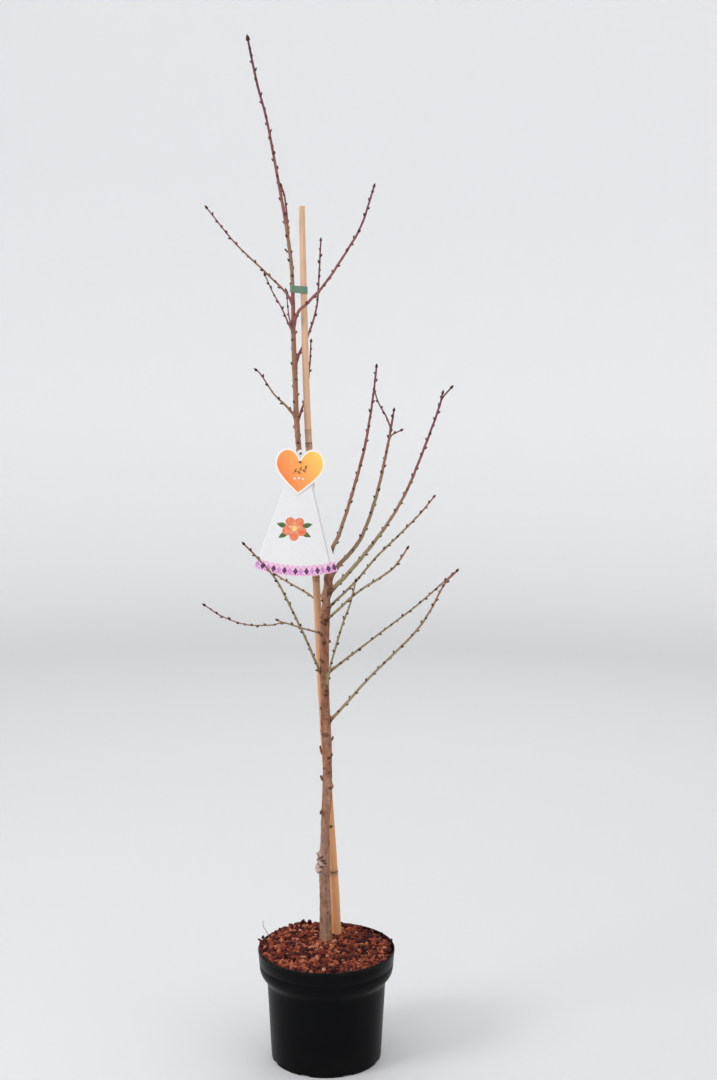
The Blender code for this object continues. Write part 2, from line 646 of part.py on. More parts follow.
def bezier(start, pull_out, pull_in, end, count):
    points = []
    for k in range(count):
        t = k / count
        weights = ((1 - t) ** 3, 3 * t * (1 - t) ** 2, 3 * t * t * (1 - t), t ** 3)
        points.append(tuple(sum(w * p[i] for w, p in zip(weights, (start, pull_out, pull_in,
                                                                   end))) for i in (0, 1)))
    return points


def heart_outline():
    """A heart 88 mm wide, its notch just above the eyelet, measured down from the apex."""
    notch, lobe, side, tip = (0, -5.3), (-22, -23.3), (-44, 3.5), (0, 57.8)
    left = bezier(notch, (-4, -15), (-12, -23.3), lobe, 5)
    left += bezier(lobe, (-35, -23.3), (-44, -11), side, 6)
    left += bezier(side, (-44, 22), (-20, 41), tip, 7)
    outline = left + [tip] + [(-x, y) for x, y in reversed(left[1:])]
    return [(x * MM, HEART_EYE + y * MM) for x, y in outline]


def make_card(name, outline, layer, turn, eyelets, material):
    """A flat card cut to an outline. All the cards are punched together, on one line."""
    forward = layer * CARD_PITCH
    vertices = []
    for face_side in (-0.5, 0.5):
        for across, down in outline:
            vertices.append(card_point(across, down, forward + face_side * CARD_WALL, turn))
    count = len(outline)
    faces = [tuple(range(count)), tuple(range(2 * count - 1, count - 1, -1))]
    faces += [(k, (k + 1) % count, (k + 1) % count + count, k + count) for k in range(count)]
    card = make_object(name, vertices, faces, material)
    for down in eyelets:
        ends = [card_point(0, down, forward - 0.004, 0), card_point(0, down, forward + 0.004, 0)]
        cut_from(card, tube("eyelet", ends, [EYELET_RADIUS] * 2, 12))
    return card


def make_label():
    white = make_material("card_white", (0.80, 0.80, 0.80), 0.45)
    orange = make_material("card_orange", (0.95, 0.42, 0.10), 0.4)
    fan = fan_outline()
    make_card("label_back_leaf", fan, -1, REAR_CARD_TURN, [FAN_EYE, HEART_EYE], white)
    make_card("label_front_leaf", fan, 0, 0.0, [FAN_EYE, HEART_EYE], white)
    make_card("label_heart", heart_outline(), 1, 0.0, [HEART_EYE], orange)


def make_label_wire(trunk_route):
    """A wire from the upper eyelet round the shoot, and back out of the lower one."""
    grey = make_material("wire", (0.06, 0.05, 0.04), 0.5, 0.3)
    level = card_point(0, (FAN_EYE + HEART_EYE) / 2, 0, 0).z
    stem = [float(np.interp(level, trunk_route[:, 2], trunk_route[:, i])) for i in range(2)]
    loop_radius = float(np.interp(level, trunk_route[:, 2], trunk_route[:, 3])) / 2 + 0.0022
    upper = card_point(0, FAN_EYE, 0, 0)
    lower = card_point(0, HEART_EYE, 0, 0)
    front_upper = card_point(0, FAN_EYE, CARD_PITCH + 0.0022, 0)
    back_upper = card_point(0, FAN_EYE, -CARD_PITCH - 0.0020, 0)
    front_lower = card_point(0, HEART_EYE, CARD_PITCH + 0.0022, 0)
    back_lower = card_point(0, HEART_EYE, -CARD_PITCH - 0.0020, 0)
    route = [front_upper, upper, back_upper]
    for k in range(7):
        angle = math.radians(-20 + 220 * k / 6)
        height = upper.z + (lower.z - upper.z) * k / 6
        route.append(Vector((stem[0] + loop_radius * math.cos(angle),
                             stem[1] + loop_radius * math.sin(angle), height)))
    route += [back_lower, lower, front_lower]
    centres = smooth_route([tuple(p) for p in route], 0.0032)
    wire = tube("label_wire", centres, [WIRE_RADIUS] * len(centres), 6, grey)
    beads = []
    for eye, layer in ((FAN_EYE, 0), (HEART_EYE, 1)):
        outer = layer * CARD_PITCH + CARD_WALL / 2
        ends = [card_point(0, eye, outer + 0.0004, 0), card_point(0, eye, outer + 0.0018, 0)]
        beads.append(tube("bead", ends, [WIRE_BEAD_RADIUS] * 2, 8))
    union_into(wire, beads)
    return wire


def build():
    clear_scene()
    cane_route = cane_centres()
    make_pot()
    make_soil(cane_route)
    make_mulch(cane_route)
    tree, trunk_route = make_tree()
    make_cane(cane_route)
    make_tie_band(trunk_route, cane_route)
    make_label()
    make_label_wire(trunk_route)


build()
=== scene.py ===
"""The looks of a young nectarine tree in its nursery pot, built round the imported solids.

The sections follow the object as a nursery puts it together: the pot, its soil, the tree,
the bark mulch, the cane, the tie band and the label. Metres, +Z up, and -Y is the front.
"""
import json
import math
import random

import bpy
import numpy as np
from mathutils import Matrix, Vector, noise
from mathutils.geometry import delaunay_2d_cdt

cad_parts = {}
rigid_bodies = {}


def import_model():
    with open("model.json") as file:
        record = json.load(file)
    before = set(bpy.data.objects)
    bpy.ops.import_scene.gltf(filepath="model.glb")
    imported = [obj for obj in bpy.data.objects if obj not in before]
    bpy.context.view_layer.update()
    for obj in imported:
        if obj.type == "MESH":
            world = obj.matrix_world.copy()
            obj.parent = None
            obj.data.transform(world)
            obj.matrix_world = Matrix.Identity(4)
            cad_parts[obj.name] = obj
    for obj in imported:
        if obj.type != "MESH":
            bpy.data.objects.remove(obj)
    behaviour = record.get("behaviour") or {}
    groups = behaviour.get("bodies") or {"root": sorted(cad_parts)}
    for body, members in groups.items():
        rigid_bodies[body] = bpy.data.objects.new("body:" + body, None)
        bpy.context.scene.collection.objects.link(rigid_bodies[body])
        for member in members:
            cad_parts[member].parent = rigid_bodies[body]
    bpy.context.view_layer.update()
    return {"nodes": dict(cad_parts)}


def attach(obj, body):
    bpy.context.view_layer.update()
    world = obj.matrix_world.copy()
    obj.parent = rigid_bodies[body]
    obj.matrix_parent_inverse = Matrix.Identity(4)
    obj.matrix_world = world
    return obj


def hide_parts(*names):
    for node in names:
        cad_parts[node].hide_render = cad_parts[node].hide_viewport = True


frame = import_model()
MM = 0.001


# Studio: a round pale sweep, flat under the pot and curving up into a wall all round,
# with soft lamps and the camera at the height and distance the object was seen from.
# It isn't part of the object.
SWEEP_SIDES = 96
SWEEP_FLAT = 5.0
SWEEP_CURVE = 2.5
SWEEP_TOP = 6.0
SWEEP_FLOOR = (0.705, 0.710, 0.720)
SWEEP_WALL = (0.940, 0.945, 0.955)
# The floor's grey turns into the wall's between these two distances.
SWEEP_FADE = (4.0, 7.0)
WORLD_LIGHT = 0.93
CAMERA_PLACE = (0.0566, -2.7153, 1.2757)
CAMERA_TURN = (83.274, -0.165, 0.02)
CAMERA_LENS = 51.33
# Each lamp is its name, place, width in metres and power in watts. All face the stem.
LAMPS = [("key_lamp", (-3.3, -1.9, 2.9), 1.6, 44), ("fill_lamp", (3.0, -2.2, 1.7), 2.2, 6),
         ("back_lamp", (0.6, 3.2, 3.0), 2.0, 11)]
LAMP_SPREAD = math.radians(140)
LAMP_AIM = Vector((0, 0, 0.8))


def make_piece(name, vertices, faces, finish=None):
    """A mesh object at the origin, in the scene, with its finish where one is given."""
    mesh = bpy.data.meshes.new(name)
    mesh.from_pydata([tuple(v) for v in vertices], [], faces)
    if finish is not None:
        mesh.materials.append(finish)
    obj = bpy.data.objects.new(name, mesh)
    bpy.context.scene.collection.objects.link(obj)
    return obj


def turned(name, profile, sides, finish=None):
    """A shape turned about Z from (radius, height) pairs. A radius of 0 makes a pole."""
    vertices = []
    rings = []
    for radius, height in profile:
        if radius == 0:
            rings.append([len(vertices)] * sides)
            vertices.append((0, 0, height))
            continue
        rings.append([len(vertices) + k for k in range(sides)])
        for k in range(sides):
            angle = 2 * math.pi * k / sides
            vertices.append((radius * math.cos(angle), radius * math.sin(angle), height))
    faces = []
    for low, high in zip(rings[:-1], rings[1:]):
        for k in range(sides):
            after = (k + 1) % sides
            corners = (low[k], low[after], high[after], high[k])
            faces.append(tuple(dict.fromkeys(corners)))
    return make_piece(name, vertices, faces, finish)


def add_node(tree, kind, inputs=None, **settings):
    """Add a node. An input given as a socket is linked, and any other value is set."""
    node = tree.nodes.new(kind)
    for setting, value in settings.items():
        setattr(node, setting, value)
    for socket, value in (inputs or {}).items():
        if isinstance(value, bpy.types.NodeSocket):
            tree.links.new(value, node.inputs[socket])
        else:
            node.inputs[socket].default_value = value
    return node


def new_finish(name, colour, roughness, shine):
    """A material with a plain colour, roughness and shine, its node tree, and its shader."""
    finish = bpy.data.materials.new(name)
    finish.use_nodes = True
    shader = finish.node_tree.nodes["Principled BSDF"]
    shader.inputs["Base Color"].default_value = (*colour, 1.0)
    shader.inputs["Roughness"].default_value = roughness
    shader.inputs["Specular IOR Level"].default_value = shine
    return finish, finish.node_tree, shader


def ramp(tree, share, stops):
    """Colours spread over a value from 0 to 1, given as (place, colour) stops."""
    node = add_node(tree, "ShaderNodeValToRGB", {"Fac": share})
    bar = node.color_ramp
    bar.elements[0].position = stops[0][0]
    bar.elements[1].position = stops[-1][0]
    bar.elements[0].color = (*stops[0][1], 1.0)
    bar.elements[1].color = (*stops[-1][1], 1.0)
    for place, colour in stops[1:-1]:
        bar.elements.new(place).color = (*colour, 1.0)
    return node.outputs["Color"]


def mix_colour(tree, share, first, second):
    inputs = {0: share}
    for socket, value in ((6, first), (7, second)):
        inputs[socket] = value if isinstance(value, bpy.types.NodeSocket) else (*value, 1.0)
    return add_node(tree, "ShaderNodeMix", inputs, data_type="RGBA").outputs[2]


def sums(tree, operation, first, second=0.0):
    return add_node(tree, "ShaderNodeMath", {0: first, 1: second},
                    operation=operation).outputs[0]


def spread(tree, value, low, high, to_low=0.0, to_high=1.0):
    """Map a value from one range to another, held at both ends."""
    return add_node(tree, "ShaderNodeMapRange",
                    {"Value": value, "From Min": low, "From Max": high, "To Min": to_low,
                     "To Max": to_high}).outputs["Result"]


def stretched(tree, source, scale):
    """Coordinates with each axis scaled by its own amount."""
    return add_node(tree, "ShaderNodeMapping", {"Vector": source, "Scale": scale}).outputs[0]


def object_place(tree):
    return add_node(tree, "ShaderNodeTexCoord").outputs["Object"]


def own_value(tree, name):
    return add_node(tree, "ShaderNodeAttribute", attribute_name=name).outputs["Fac"]


def paint(tree, shader, colour, roughness=None):
    """Give a shader its worked-out colour, and its roughness where that varies as well."""
    tree.links.new(colour, shader.inputs["Base Color"])
    if roughness is not None:
        tree.links.new(roughness, shader.inputs["Roughness"])


def bumped(tree, shader, height, strength, depth):
    bump = add_node(tree, "ShaderNodeBump",
                    {"Height": height, "Strength": strength, "Distance": depth})
    tree.links.new(bump.outputs["Normal"], shader.inputs["Normal"])


def make_worn_grain():
    """A node group of soft patches and fine grain, for every surface that isn't even."""
    group = bpy.data.node_groups.new("worn_grain", "ShaderNodeTree")
    for label, way, kind in (("Place", "INPUT", "Vector"), ("Patch Scale", "INPUT", "Float"),
                             ("Grain Scale", "INPUT", "Float"), ("Patches", "OUTPUT", "Float"),
                             ("Grain", "OUTPUT", "Float")):
        group.interface.new_socket(label, in_out=way, socket_type="NodeSocket" + kind)
    ins = add_node(group, "NodeGroupInput").outputs
    patch = add_node(group, "ShaderNodeTexNoise",
                     {"Vector": ins["Place"], "Scale": ins["Patch Scale"], "Detail": 3.0,
                      "Roughness": 0.55, "Distortion": 0.4})
    grain = add_node(group, "ShaderNodeTexNoise",
                     {"Vector": ins["Place"], "Scale": ins["Grain Scale"], "Detail": 5.0,
                      "Roughness": 0.65})
    patches = spread(group, patch.outputs["Fac"], 0.30, 0.70)
    fine = spread(group, grain.outputs["Fac"], 0.25, 0.75)
    add_node(group, "NodeGroupOutput", {"Patches": patches, "Grain": fine})
    return group


WORN_GRAIN = make_worn_grain()


def worn_grain(tree, place, patch_scale, grain_scale):
    """Two values from 0 to 1 at a place: its soft patches and its fine grain."""
    node = add_node(tree, "ShaderNodeGroup", node_tree=WORN_GRAIN)
    for socket, value in (("Patch Scale", patch_scale), ("Grain Scale", grain_scale)):
        node.inputs[socket].default_value = value
    tree.links.new(place, node.inputs["Place"])
    return node.outputs["Patches"], node.outputs["Grain"]


def sweep_profile():
    """From the top of the wall, down and round its curve, to the middle of the floor."""
    profile = [(SWEEP_FLAT + SWEEP_CURVE, SWEEP_TOP)]
    steps = 16
    for k in range(steps + 1):
        angle = math.pi / 2 * k / steps
        profile.append((SWEEP_FLAT + SWEEP_CURVE * math.cos(angle),
                        SWEEP_CURVE * (1 - math.sin(angle))))
    return profile + [(1.0, 0.0), (0, 0.0)]


def sweep_finish():
    finish, tree, shader = new_finish("pale_board", SWEEP_WALL, 0.9, 0.2)
    place = object_place(tree)
    grain = worn_grain(tree, place, 0.8, 60.0)[1]
    away = add_node(tree, "ShaderNodeVectorMath", {0: place}, operation="LENGTH").outputs[1]
    paint(tree, shader, mix_colour(tree, spread(tree, away, *SWEEP_FADE), SWEEP_FLOOR, SWEEP_WALL))
    bumped(tree, shader, grain, 0.05, 0.0004)
    return finish


sweep = turned("studio_sweep", sweep_profile(), SWEEP_SIDES, sweep_finish())
sweep.data.shade_smooth()

world = bpy.data.worlds.new("studio_air")
world.use_nodes = True
world.node_tree.nodes["Background"].inputs["Color"].default_value = (1.0, 1.0, 1.0, 1.0)
world.node_tree.nodes["Background"].inputs["Strength"].default_value = WORLD_LIGHT
bpy.context.scene.world = world
bpy.context.scene.view_settings.view_transform = "Standard"

for lamp_name, lamp_place, lamp_width, lamp_power in LAMPS:
    lamp_data = bpy.data.lights.new(lamp_name, "AREA")
    lamp_data.size = lamp_width
    lamp_data.energy = lamp_power
    lamp_data.spread = LAMP_SPREAD
    lamp = bpy.data.objects.new(lamp_name, lamp_data)
    lamp.location = lamp_place
    heading = LAMP_AIM - Vector(lamp_place)
    lamp.rotation_euler = heading.to_track_quat("-Z", "Y").to_euler()
    bpy.context.scene.collection.objects.link(lamp)

camera_data = bpy.data.cameras.new("studio_camera")
camera_data.lens = CAMERA_LENS
camera_data.sensor_width = 36.0
camera = bpy.data.objects.new("studio_camera", camera_data)
camera.location = CAMERA_PLACE
camera.rotation_euler = [math.radians(value) for value in CAMERA_TURN]
bpy.context.scene.collection.objects.link(camera)
bpy.context.scene.camera = camera


# Pot: a thin black polypropylene nursery pot, thermoformed in one piece, with a deep
# straight band below its rolled rim. Drain slots are punched round the foot.
POT_SIDES = 192
POT_WALL = 1.8 * MM
POT_FLOOR = 2.2 * MM
POT_BASE_RADIUS = 100.5 * MM
DRAIN_SLOTS = 8
DRAIN_SLOT_SIZE = (10 * MM, 18 * MM, 4 * MM)
DRAIN_SLOT_TURN = -21.5
FLOOR_HOLES = 4
FLOOR_HOLE_RADIUS = 5 * MM
FLOOR_HOLE_CIRCLE = 62 * MM
FLOOR_HOLE_SIDES = 24
FLOOR_RING = 60 * MM
# How far the cutting shapes reach past the pot's floor.
PUNCH_REACH = 0.002
# The outer wall as (radius, height) in mm, up to the rim's widest line.
POT_OUTSIDE = [(98.8, 0.0), (99.6, 0.25), (100.3, 0.9), (100.6, 2.2), (102.1, 26.0),
               (103.8, 58.0), (106.0, 100.0), (107.2, 122.0), (108.0, 136.0), (108.6, 141.5),
               (109.6, 145.6), (111.6, 149.2), (114.2, 152.4), (117.0, 155.8), (119.4, 159.6),
               (121.0, 163.4), (121.8, 166.6), (122.3, 170.0), (122.9, 177.4), (122.5, 178.2),
               (122.5, 179.3), (123.1, 180.1), (124.4, 197.5), (124.5, 198.3), (124.8, 199.0),
               (125.0, 200.6), (125.0, 202.8)]
# The rolled rim, over and down to where the wall is even again.
POT_RIM = [(124.8, 204.1), (124.2, 204.9), (123.6, 205.0), (123.0, 204.6), (122.7, 203.8),
           (122.6, 202.4), (122.6, 198.0)]
# Heights in mm of the inner wall's rings, from the rim down.
POT_INSIDE = (180, 170, 166, 162, 158, 154, 150, 146, 140, 130, 100, 60, 20)
POT_BLACK = (0.0036, 0.0039, 0.0043)
POT_DUST = (0.045, 0.042, 0.038)


def pot_inside_radius(height):
    levels = [level * MM for radius, level in POT_OUTSIDE]
    radii = [radius * MM for radius, level in POT_OUTSIDE]
    return float(np.interp(height, levels, radii)) - POT_WALL


def pot_profile():
    """From the middle of the underside, up the outside, over the rim and down the inside."""
    profile = [(0, 0.0), (FLOOR_RING, 0.0)]
    profile += [(radius * MM, height * MM) for radius, height in POT_OUTSIDE + POT_RIM]
    profile += [(pot_inside_radius(height * MM), height * MM) for height in POT_INSIDE]
    return profile + [(POT_BASE_RADIUS - POT_WALL, POT_FLOOR), (FLOOR_RING, POT_FLOOR),
                      (0, POT_FLOOR)]


def ring_of(centre, radius, count, stretch=1.0, turn=0.0):
    """An oval's outline, stretched along one way and turned."""
    points = []
    for k in range(count):
        angle = 2 * math.pi * k / count
        a = radius * stretch * math.cos(angle)
        b = radius * math.sin(angle)
        points.append((centre[0] + a * math.cos(turn) - b * math.sin(turn),
                       centre[1] + a * math.sin(turn) + b * math.cos(turn)))
    return points


def drain_cutters():
    """Boxes at the foot and rods through the floor, in one mesh, where the pot is open."""
    prisms = []
    depth, width, height = DRAIN_SLOT_SIZE
    for k in range(DRAIN_SLOTS):
        turn = math.radians(270 + DRAIN_SLOT_TURN) + 2 * math.pi * k / DRAIN_SLOTS
        outline = []
        for out, along in ((-1, -1), (1, -1), (1, 1), (-1, 1)):
            reach = POT_BASE_RADIUS + out * depth / 2
            side = along * width / 2
            outline.append((reach * math.cos(turn) - side * math.sin(turn),
                            reach * math.sin(turn) + side * math.cos(turn)))
        prisms.append((outline, height))
    for k in range(FLOOR_HOLES):
        turn = 2 * math.pi * (k + 0.5) / FLOOR_HOLES
        middle = (FLOOR_HOLE_CIRCLE * math.cos(turn), FLOOR_HOLE_CIRCLE * math.sin(turn))
        prisms.append((ring_of(middle, FLOOR_HOLE_RADIUS, FLOOR_HOLE_SIDES),
                       POT_FLOOR + PUNCH_REACH))
    vertices = []
    faces = []
    for outline, top in prisms:
        low = range(len(vertices), len(vertices) + len(outline))
        high = range(low.stop, low.stop + len(outline))
        vertices += [(x, y, level) for level in (-PUNCH_REACH, top) for x, y in outline]
        faces += [tuple(reversed(low)), tuple(high)]
        faces += [(low[k - 1], low[k], high[k], high[k - 1]) for k in range(len(outline))]
    return make_piece("drain_cutters", vertices, faces)


def keep_result(obj):
    """Replace an object's mesh by what its modifiers make of it, and remove them."""
    graph = bpy.context.evaluated_depsgraph_get()
    mesh = bpy.data.meshes.new_from_object(obj.evaluated_get(graph))
    obj.modifiers.clear()
    obj.data = mesh


def shade_creased(piece, degrees):
    """Smooth shading, with every edge sharper than an angle kept crisp."""
    piece.data.shade_smooth()
    piece.data.set_sharp_from_angle(angle=math.radians(degrees))


def height_of(tree, place):
    return add_node(tree, "ShaderNodeSeparateXYZ", {0: place}).outputs["Z"]


def pot_finish():
    finish, tree, shader = new_finish("pot_plastic", POT_BLACK, 0.34, 0.045)
    place = object_place(tree)
    patches, grain = worn_grain(tree, place, 26.0, 700.0)
    streaks = add_node(tree, "ShaderNodeTexNoise",
                       {"Vector": stretched(tree, place, (1.0, 1.0, 0.05)), "Scale": 90.0,
                        "Detail": 3.0}).outputs["Fac"]
    height = height_of(tree, place)
    # Dust gathers at the foot and lies thinly on the rim.
    foot = spread(tree, height, 0.0, 0.05, 0.10, 0.0)
    rim = spread(tree, height, 0.198, 0.205, 0.0, 0.30)
    dust = sums(tree, "MULTIPLY", sums(tree, "ADD", foot, rim), patches)
    rough = sums(tree, "ADD", spread(tree, patches, 0.0, 1.0, 0.31, 0.34),
                 sums(tree, "MULTIPLY", dust, 0.4))
    paint(tree, shader, mix_colour(tree, dust, POT_BLACK, POT_DUST), rough)
    relief = sums(tree, "ADD", sums(tree, "MULTIPLY", streaks, 0.8), grain)
    bumped(tree, shader, relief, 0.16, 0.0003)
    return finish


def hand_over(piece, stands_for):
    """Tie a finished piece to the frame, and hide the solid that it replaces."""
    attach(piece, "root")
    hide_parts(stands_for)


pot = turned("nursery_pot", pot_profile(), POT_SIDES, pot_finish())
cutters = drain_cutters()
punch = pot.modifiers.new("drain_openings", "BOOLEAN")
punch.operation = "DIFFERENCE"
punch.solver = "EXACT"
punch.object = cutters
keep_result(pot)
bpy.data.objects.remove(cutters, do_unlink=True)
shade_creased(pot, 40)
hand_over(pot, "pot")


# Potting soil: moist peat and wood fibre, filled by hand up to the mulch. Only its edge
# shows, through the drain slots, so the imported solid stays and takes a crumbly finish.
SOIL_DARK = (0.022, 0.013, 0.008)
SOIL_LIGHT = (0.090, 0.058, 0.036)


def mottled_finish(name, plain, mottles, gloss, scales, relief, lumpy=False):
    """A finish mottled with two colours, rough in its grain, and in its patches if lumpy.

    The gloss is its roughness and shine, the scales are those of its patches and grain, and
    the relief is its strength and depth.
    """
    finish, tree, shader = new_finish(name, plain, *gloss)
    patches, grain = worn_grain(tree, object_place(tree), *scales)
    paint(tree, shader, mix_colour(tree, patches, *mottles))
    bumped(tree, shader, sums(tree, "ADD", patches, grain) if lumpy else grain, *relief)
    return finish


soil = mottled_finish("potting_soil", SOIL_DARK, (SOIL_DARK, SOIL_LIGHT), (0.95, 0.1),
                      (220.0, 900.0), (0.9, 0.0015), lumpy=True)
frame["nodes"]["potting_soil"].material_slots[0].material = soil


# Tree trunk and leader: one woody stem grown up from the graft low on its left side, with
# old branch scars, dead spurs and a callus. Every stem is given from its root to its tip
# as (x, y, z, diameter) in mm.
TRUNK_SIDES = 44
TRUNK_RING = 1.4 * MM
TRUNK = [(-1, 20, 100, 20), (-1, 20, 180, 22.4), (-1, 20, 212, 23), (-2.6, 20, 277, 21),
         (-3.6, 21, 330, 20.2), (-4, 21, 366, 20.6), (-3, 20, 395, 17.4), (-3, 20, 430, 16.2),
         (1, 17, 489, 17.2), (1, 15, 551, 16.6), (-0.6, 14, 598, 17.8), (-2, 13, 630, 17.6),
         (-2.8, 13, 663, 16.0), (-4.2, 12, 736, 16.4), (-3.6, 11, 790, 16.6), (-3, 10.6, 811, 16.2),
         (-2.2, 10, 827, 15.8), (-1.0, 10, 843, 13.0), (0.8, 9.6, 859, 14.2), (2.6, 9, 882, 14.4),
         (4, 9, 908, 15), (-2, 10, 940, 12.5), (-12, 12, 975, 11.2), (-34, 18, 1046, 10.3),
         (-48, 21, 1105, 9.8), (-54, 24, 1167, 9.2), (-56, 25, 1227, 9.0), (-59, 26, 1302, 8.6),
         (-60, 27, 1372, 6.8), (-62, 26, 1431, 6.7), (-69, 24, 1488, 6.2), (-75, 22, 1527, 5.6),
         (-88, 18, 1599, 4.8), (-104, 12, 1684, 4.3), (-119, 6, 1740, 4.1), (-130, 2, 1791, 3.9),
         (-135, 0, 1817, 3.4)]
# Scars: height in mm, turn in degrees (0 is the front, 90 the right side), width in mm,
# how far each stands out in mm, and how dark it is.
TRUNK_KNOBS = [(872, 72, 15, 3.6, 0.25), (861, 76, 8, 0.4, 0.95), (862, -20, 9, 1.4, 0.35),
               (852, -76, 13, 6.5, 0.15), (844, -64, 7, 0.2, 0.85), (839, 64, 12, 3.6, 0.30),
               (834, 42, 7, 0.4, 0.95), (824, -12, 12, 1.5, 0.25), (816, -52, 9, 2.6, 0.55),
               (806, -42, 9, 2.2, 0.85), (811, 12, 12, 2.8, 1.00), (803, 2, 9, 1.6, 0.90),
               (770, -3, 10, 1.8, 0.85), (737, -46, 9, 2.4, 0.75), (735, -14, 8, 1.4, 0.75),
               (717, -86, 6, 2.0, 0.60), (690, -30, 8, 1.4, 0.30), (675, 13, 9, 3.0, 1.00),
               (648, -80, 8, 2.4, 0.85), (640, -20, 9, 1.4, 0.20), (601, -8, 14, 2.2, 0.70),
               (562, 62, 9, 3.3, 0.90), (557, 22, 9, 1.8, 0.90), (538, -46, 7, 1.8, 0.90),
               (531, 29, 9, 1.8, 0.60), (503, 56, 14, 4.4, 0.20), (501, 26, 8, 0.6, 0.95),
               (437, 20, 8, 1.0, 0.40), (266, 25, 5, 1.4, 0.85)]
# Dead spurs: height, turn, width and length in mm, and how steeply each leans up in degrees.
TRUNK_SPURS = [(1461, -88, 3.2, 7, 45), (771, 70, 5, 2.8, 20), (717, -88, 3.6, 8, 8),
               (590, 84, 3.8, 6.5, 68), (564, -86, 4.0, 14, 74), (515, -84, 4.6, 7.5, 66),
               (454, -52, 8, 3.6, 15)]
# Callus lumps of the graft, given as the scars are, with how pale each is.
GRAFT_LUMPS = [(344, -80, 15, 7.5, 1.3), (350, -98, 13, 7.5, 1.3), (361, -92, 12, 6, 1.3),
               (373, -84, 10, 5, 1.1), (371, -56, 9, 3.5, 0.5), (357, -52, 11, 4, 0.8),
               (366, -20, 11, 4.2, 0.15), (374, -104, 9, 3, 1.0), (341, -56, 9, 3.0, 1.2),
               (368, 2, 9, 3.0, 0.1), (356, -14, 8, 1.8, 0.3)]
GRAFT_ROUGH = 0.0034
# Dark cracks and torn edges in the callus, as height in mm, turn in degrees and width in mm.
GRAFT_CRACKS = [(369, -40, 8), (364, -8, 9), (371, -18, 6), (364, -72, 6), (352, -30, 7),
                (359, 6, 6), (373, -70, 6), (356, -64, 5), (349, -104, 4), (367, -98, 5),
                (358, -88, 4), (342, -34, 6)]
# Green bark left at the foot of a forward shoot, given as the cracks are.
GREEN_BARK = [(687, 26, 11), (698, 28, 11), (710, 32, 10)]
# How old the wood is up the trunk (1 is old bark) and how red the young bark above it is.
TRUNK_WOOD = ([0.95, 1.10, 1.25, 1.40], [1.0, 0.60, 0.25, 0.0])
TRUNK_BLUSH = ([1.10, 1.30, 1.345, 1.385, 1.41, 1.48, 1.58, 1.70, 1.82],
               [0.30, 0.34, 0.54, 0.56, 0.28, 0.30, 0.60, 0.78, 1.0])
BARK_OLD = [(0.00, (0.084, 0.026, 0.015)), (0.30, (0.230, 0.089, 0.046)),
            (0.60, (0.372, 0.164, 0.094)), (1.00, (0.575, 0.330, 0.240))]
BARK_FOOT = [(0.00, (0.150, 0.068, 0.040)), (0.34, (0.310, 0.158, 0.092)),
             (0.66, (0.420, 0.240, 0.150)), (1.00, (0.560, 0.370, 0.260))]
BARK_YOUNG = [(0.00, (0.302, 0.262, 0.138)), (0.18, (0.298, 0.212, 0.118)),
              (0.34, (0.318, 0.160, 0.100)), (0.54, (0.292, 0.100, 0.096)),
              (0.76, (0.212, 0.068, 0.088)), (1.00, (0.090, 0.038, 0.050))]
BARK_PLAIN = (0.25, 0.13, 0.08)
BARK_SCAR_AND_SHADE = (0.064, 0.020, 0.011)
BARK_CALLUS = (0.560, 0.455, 0.400)
BARK_LENTICEL = (0.480, 0.330, 0.230)
BARK_WEATHERED = (0.330, 0.215, 0.195)
BARK_WRINKLE = (0.150, 0.062, 0.038)
BARK_CRACK = (0.095, 0.036, 0.022)
BARK_PORE = (0.10, 0.05, 0.03)
# What the bark reads: old wood, redness, dark scars and painted crease shade, pale callus.
BARK_VALUES = ("wood", "blush", "scar_and_shade", "callus")
GOLDEN_ANGLE = math.pi * (3 - math.sqrt(5))


def smooth_route(points, spacing):
    """Even samples of a Catmull-Rom curve through the points, in any number of values."""
    knots = np.array(points, float)
    ends = np.vstack([2 * knots[0] - knots[1], knots, 2 * knots[-1] - knots[-2]])
    dense = []
    for a, b, c, d in zip(ends[:-3], ends[1:-2], ends[2:-1], ends[3:]):
        for t in np.linspace(0, 1, 16, endpoint=False):
            dense.append(0.5 * (2 * b + (c - a) * t + (2 * a - 5 * b + 4 * c - d) * t ** 2
                                + (3 * b - a - 3 * c + d) * t ** 3))
    dense.append(knots[-1])
    dense = np.array(dense)
    run = run_of(dense)
    count = max(2, round(run[-1] / spacing) + 1)
    wanted = np.linspace(0, run[-1], count)
    return np.column_stack([np.interp(wanted, run, column) for column in dense.T])


def run_of(points):
    """How far along a line each of its points is."""
    steps = np.linalg.norm(np.diff(points[:, :3], axis=0), axis=1)
    return np.concatenate([[0], np.cumsum(steps)])


def frames_along(centres):
    """Tangent and two cross directions at each point, carried along without twist."""
    tangents = np.gradient(centres, axis=0)
    tangents /= np.linalg.norm(tangents, axis=1)[:, None]
    side = np.array([0.0, -1.0, 0.0])
    sides = []
    for tangent in tangents:
        if abs(tangent @ side) > 0.98:
            side = np.array([1.0, 0.0, 0.0])
        side = side - tangent * (side @ tangent)
        side = side / np.linalg.norm(side)
        sides.append(side)
    sides = np.array(sides)
    return tangents, sides, np.cross(tangents, sides)


def ways_round(side, across, angles):
    """The ways out of each point of a line, one for each angle round it."""
    return (side[:, None, :] * np.cos(angles)[None, :, None]
            + across[:, None, :] * np.sin(angles)[None, :, None])


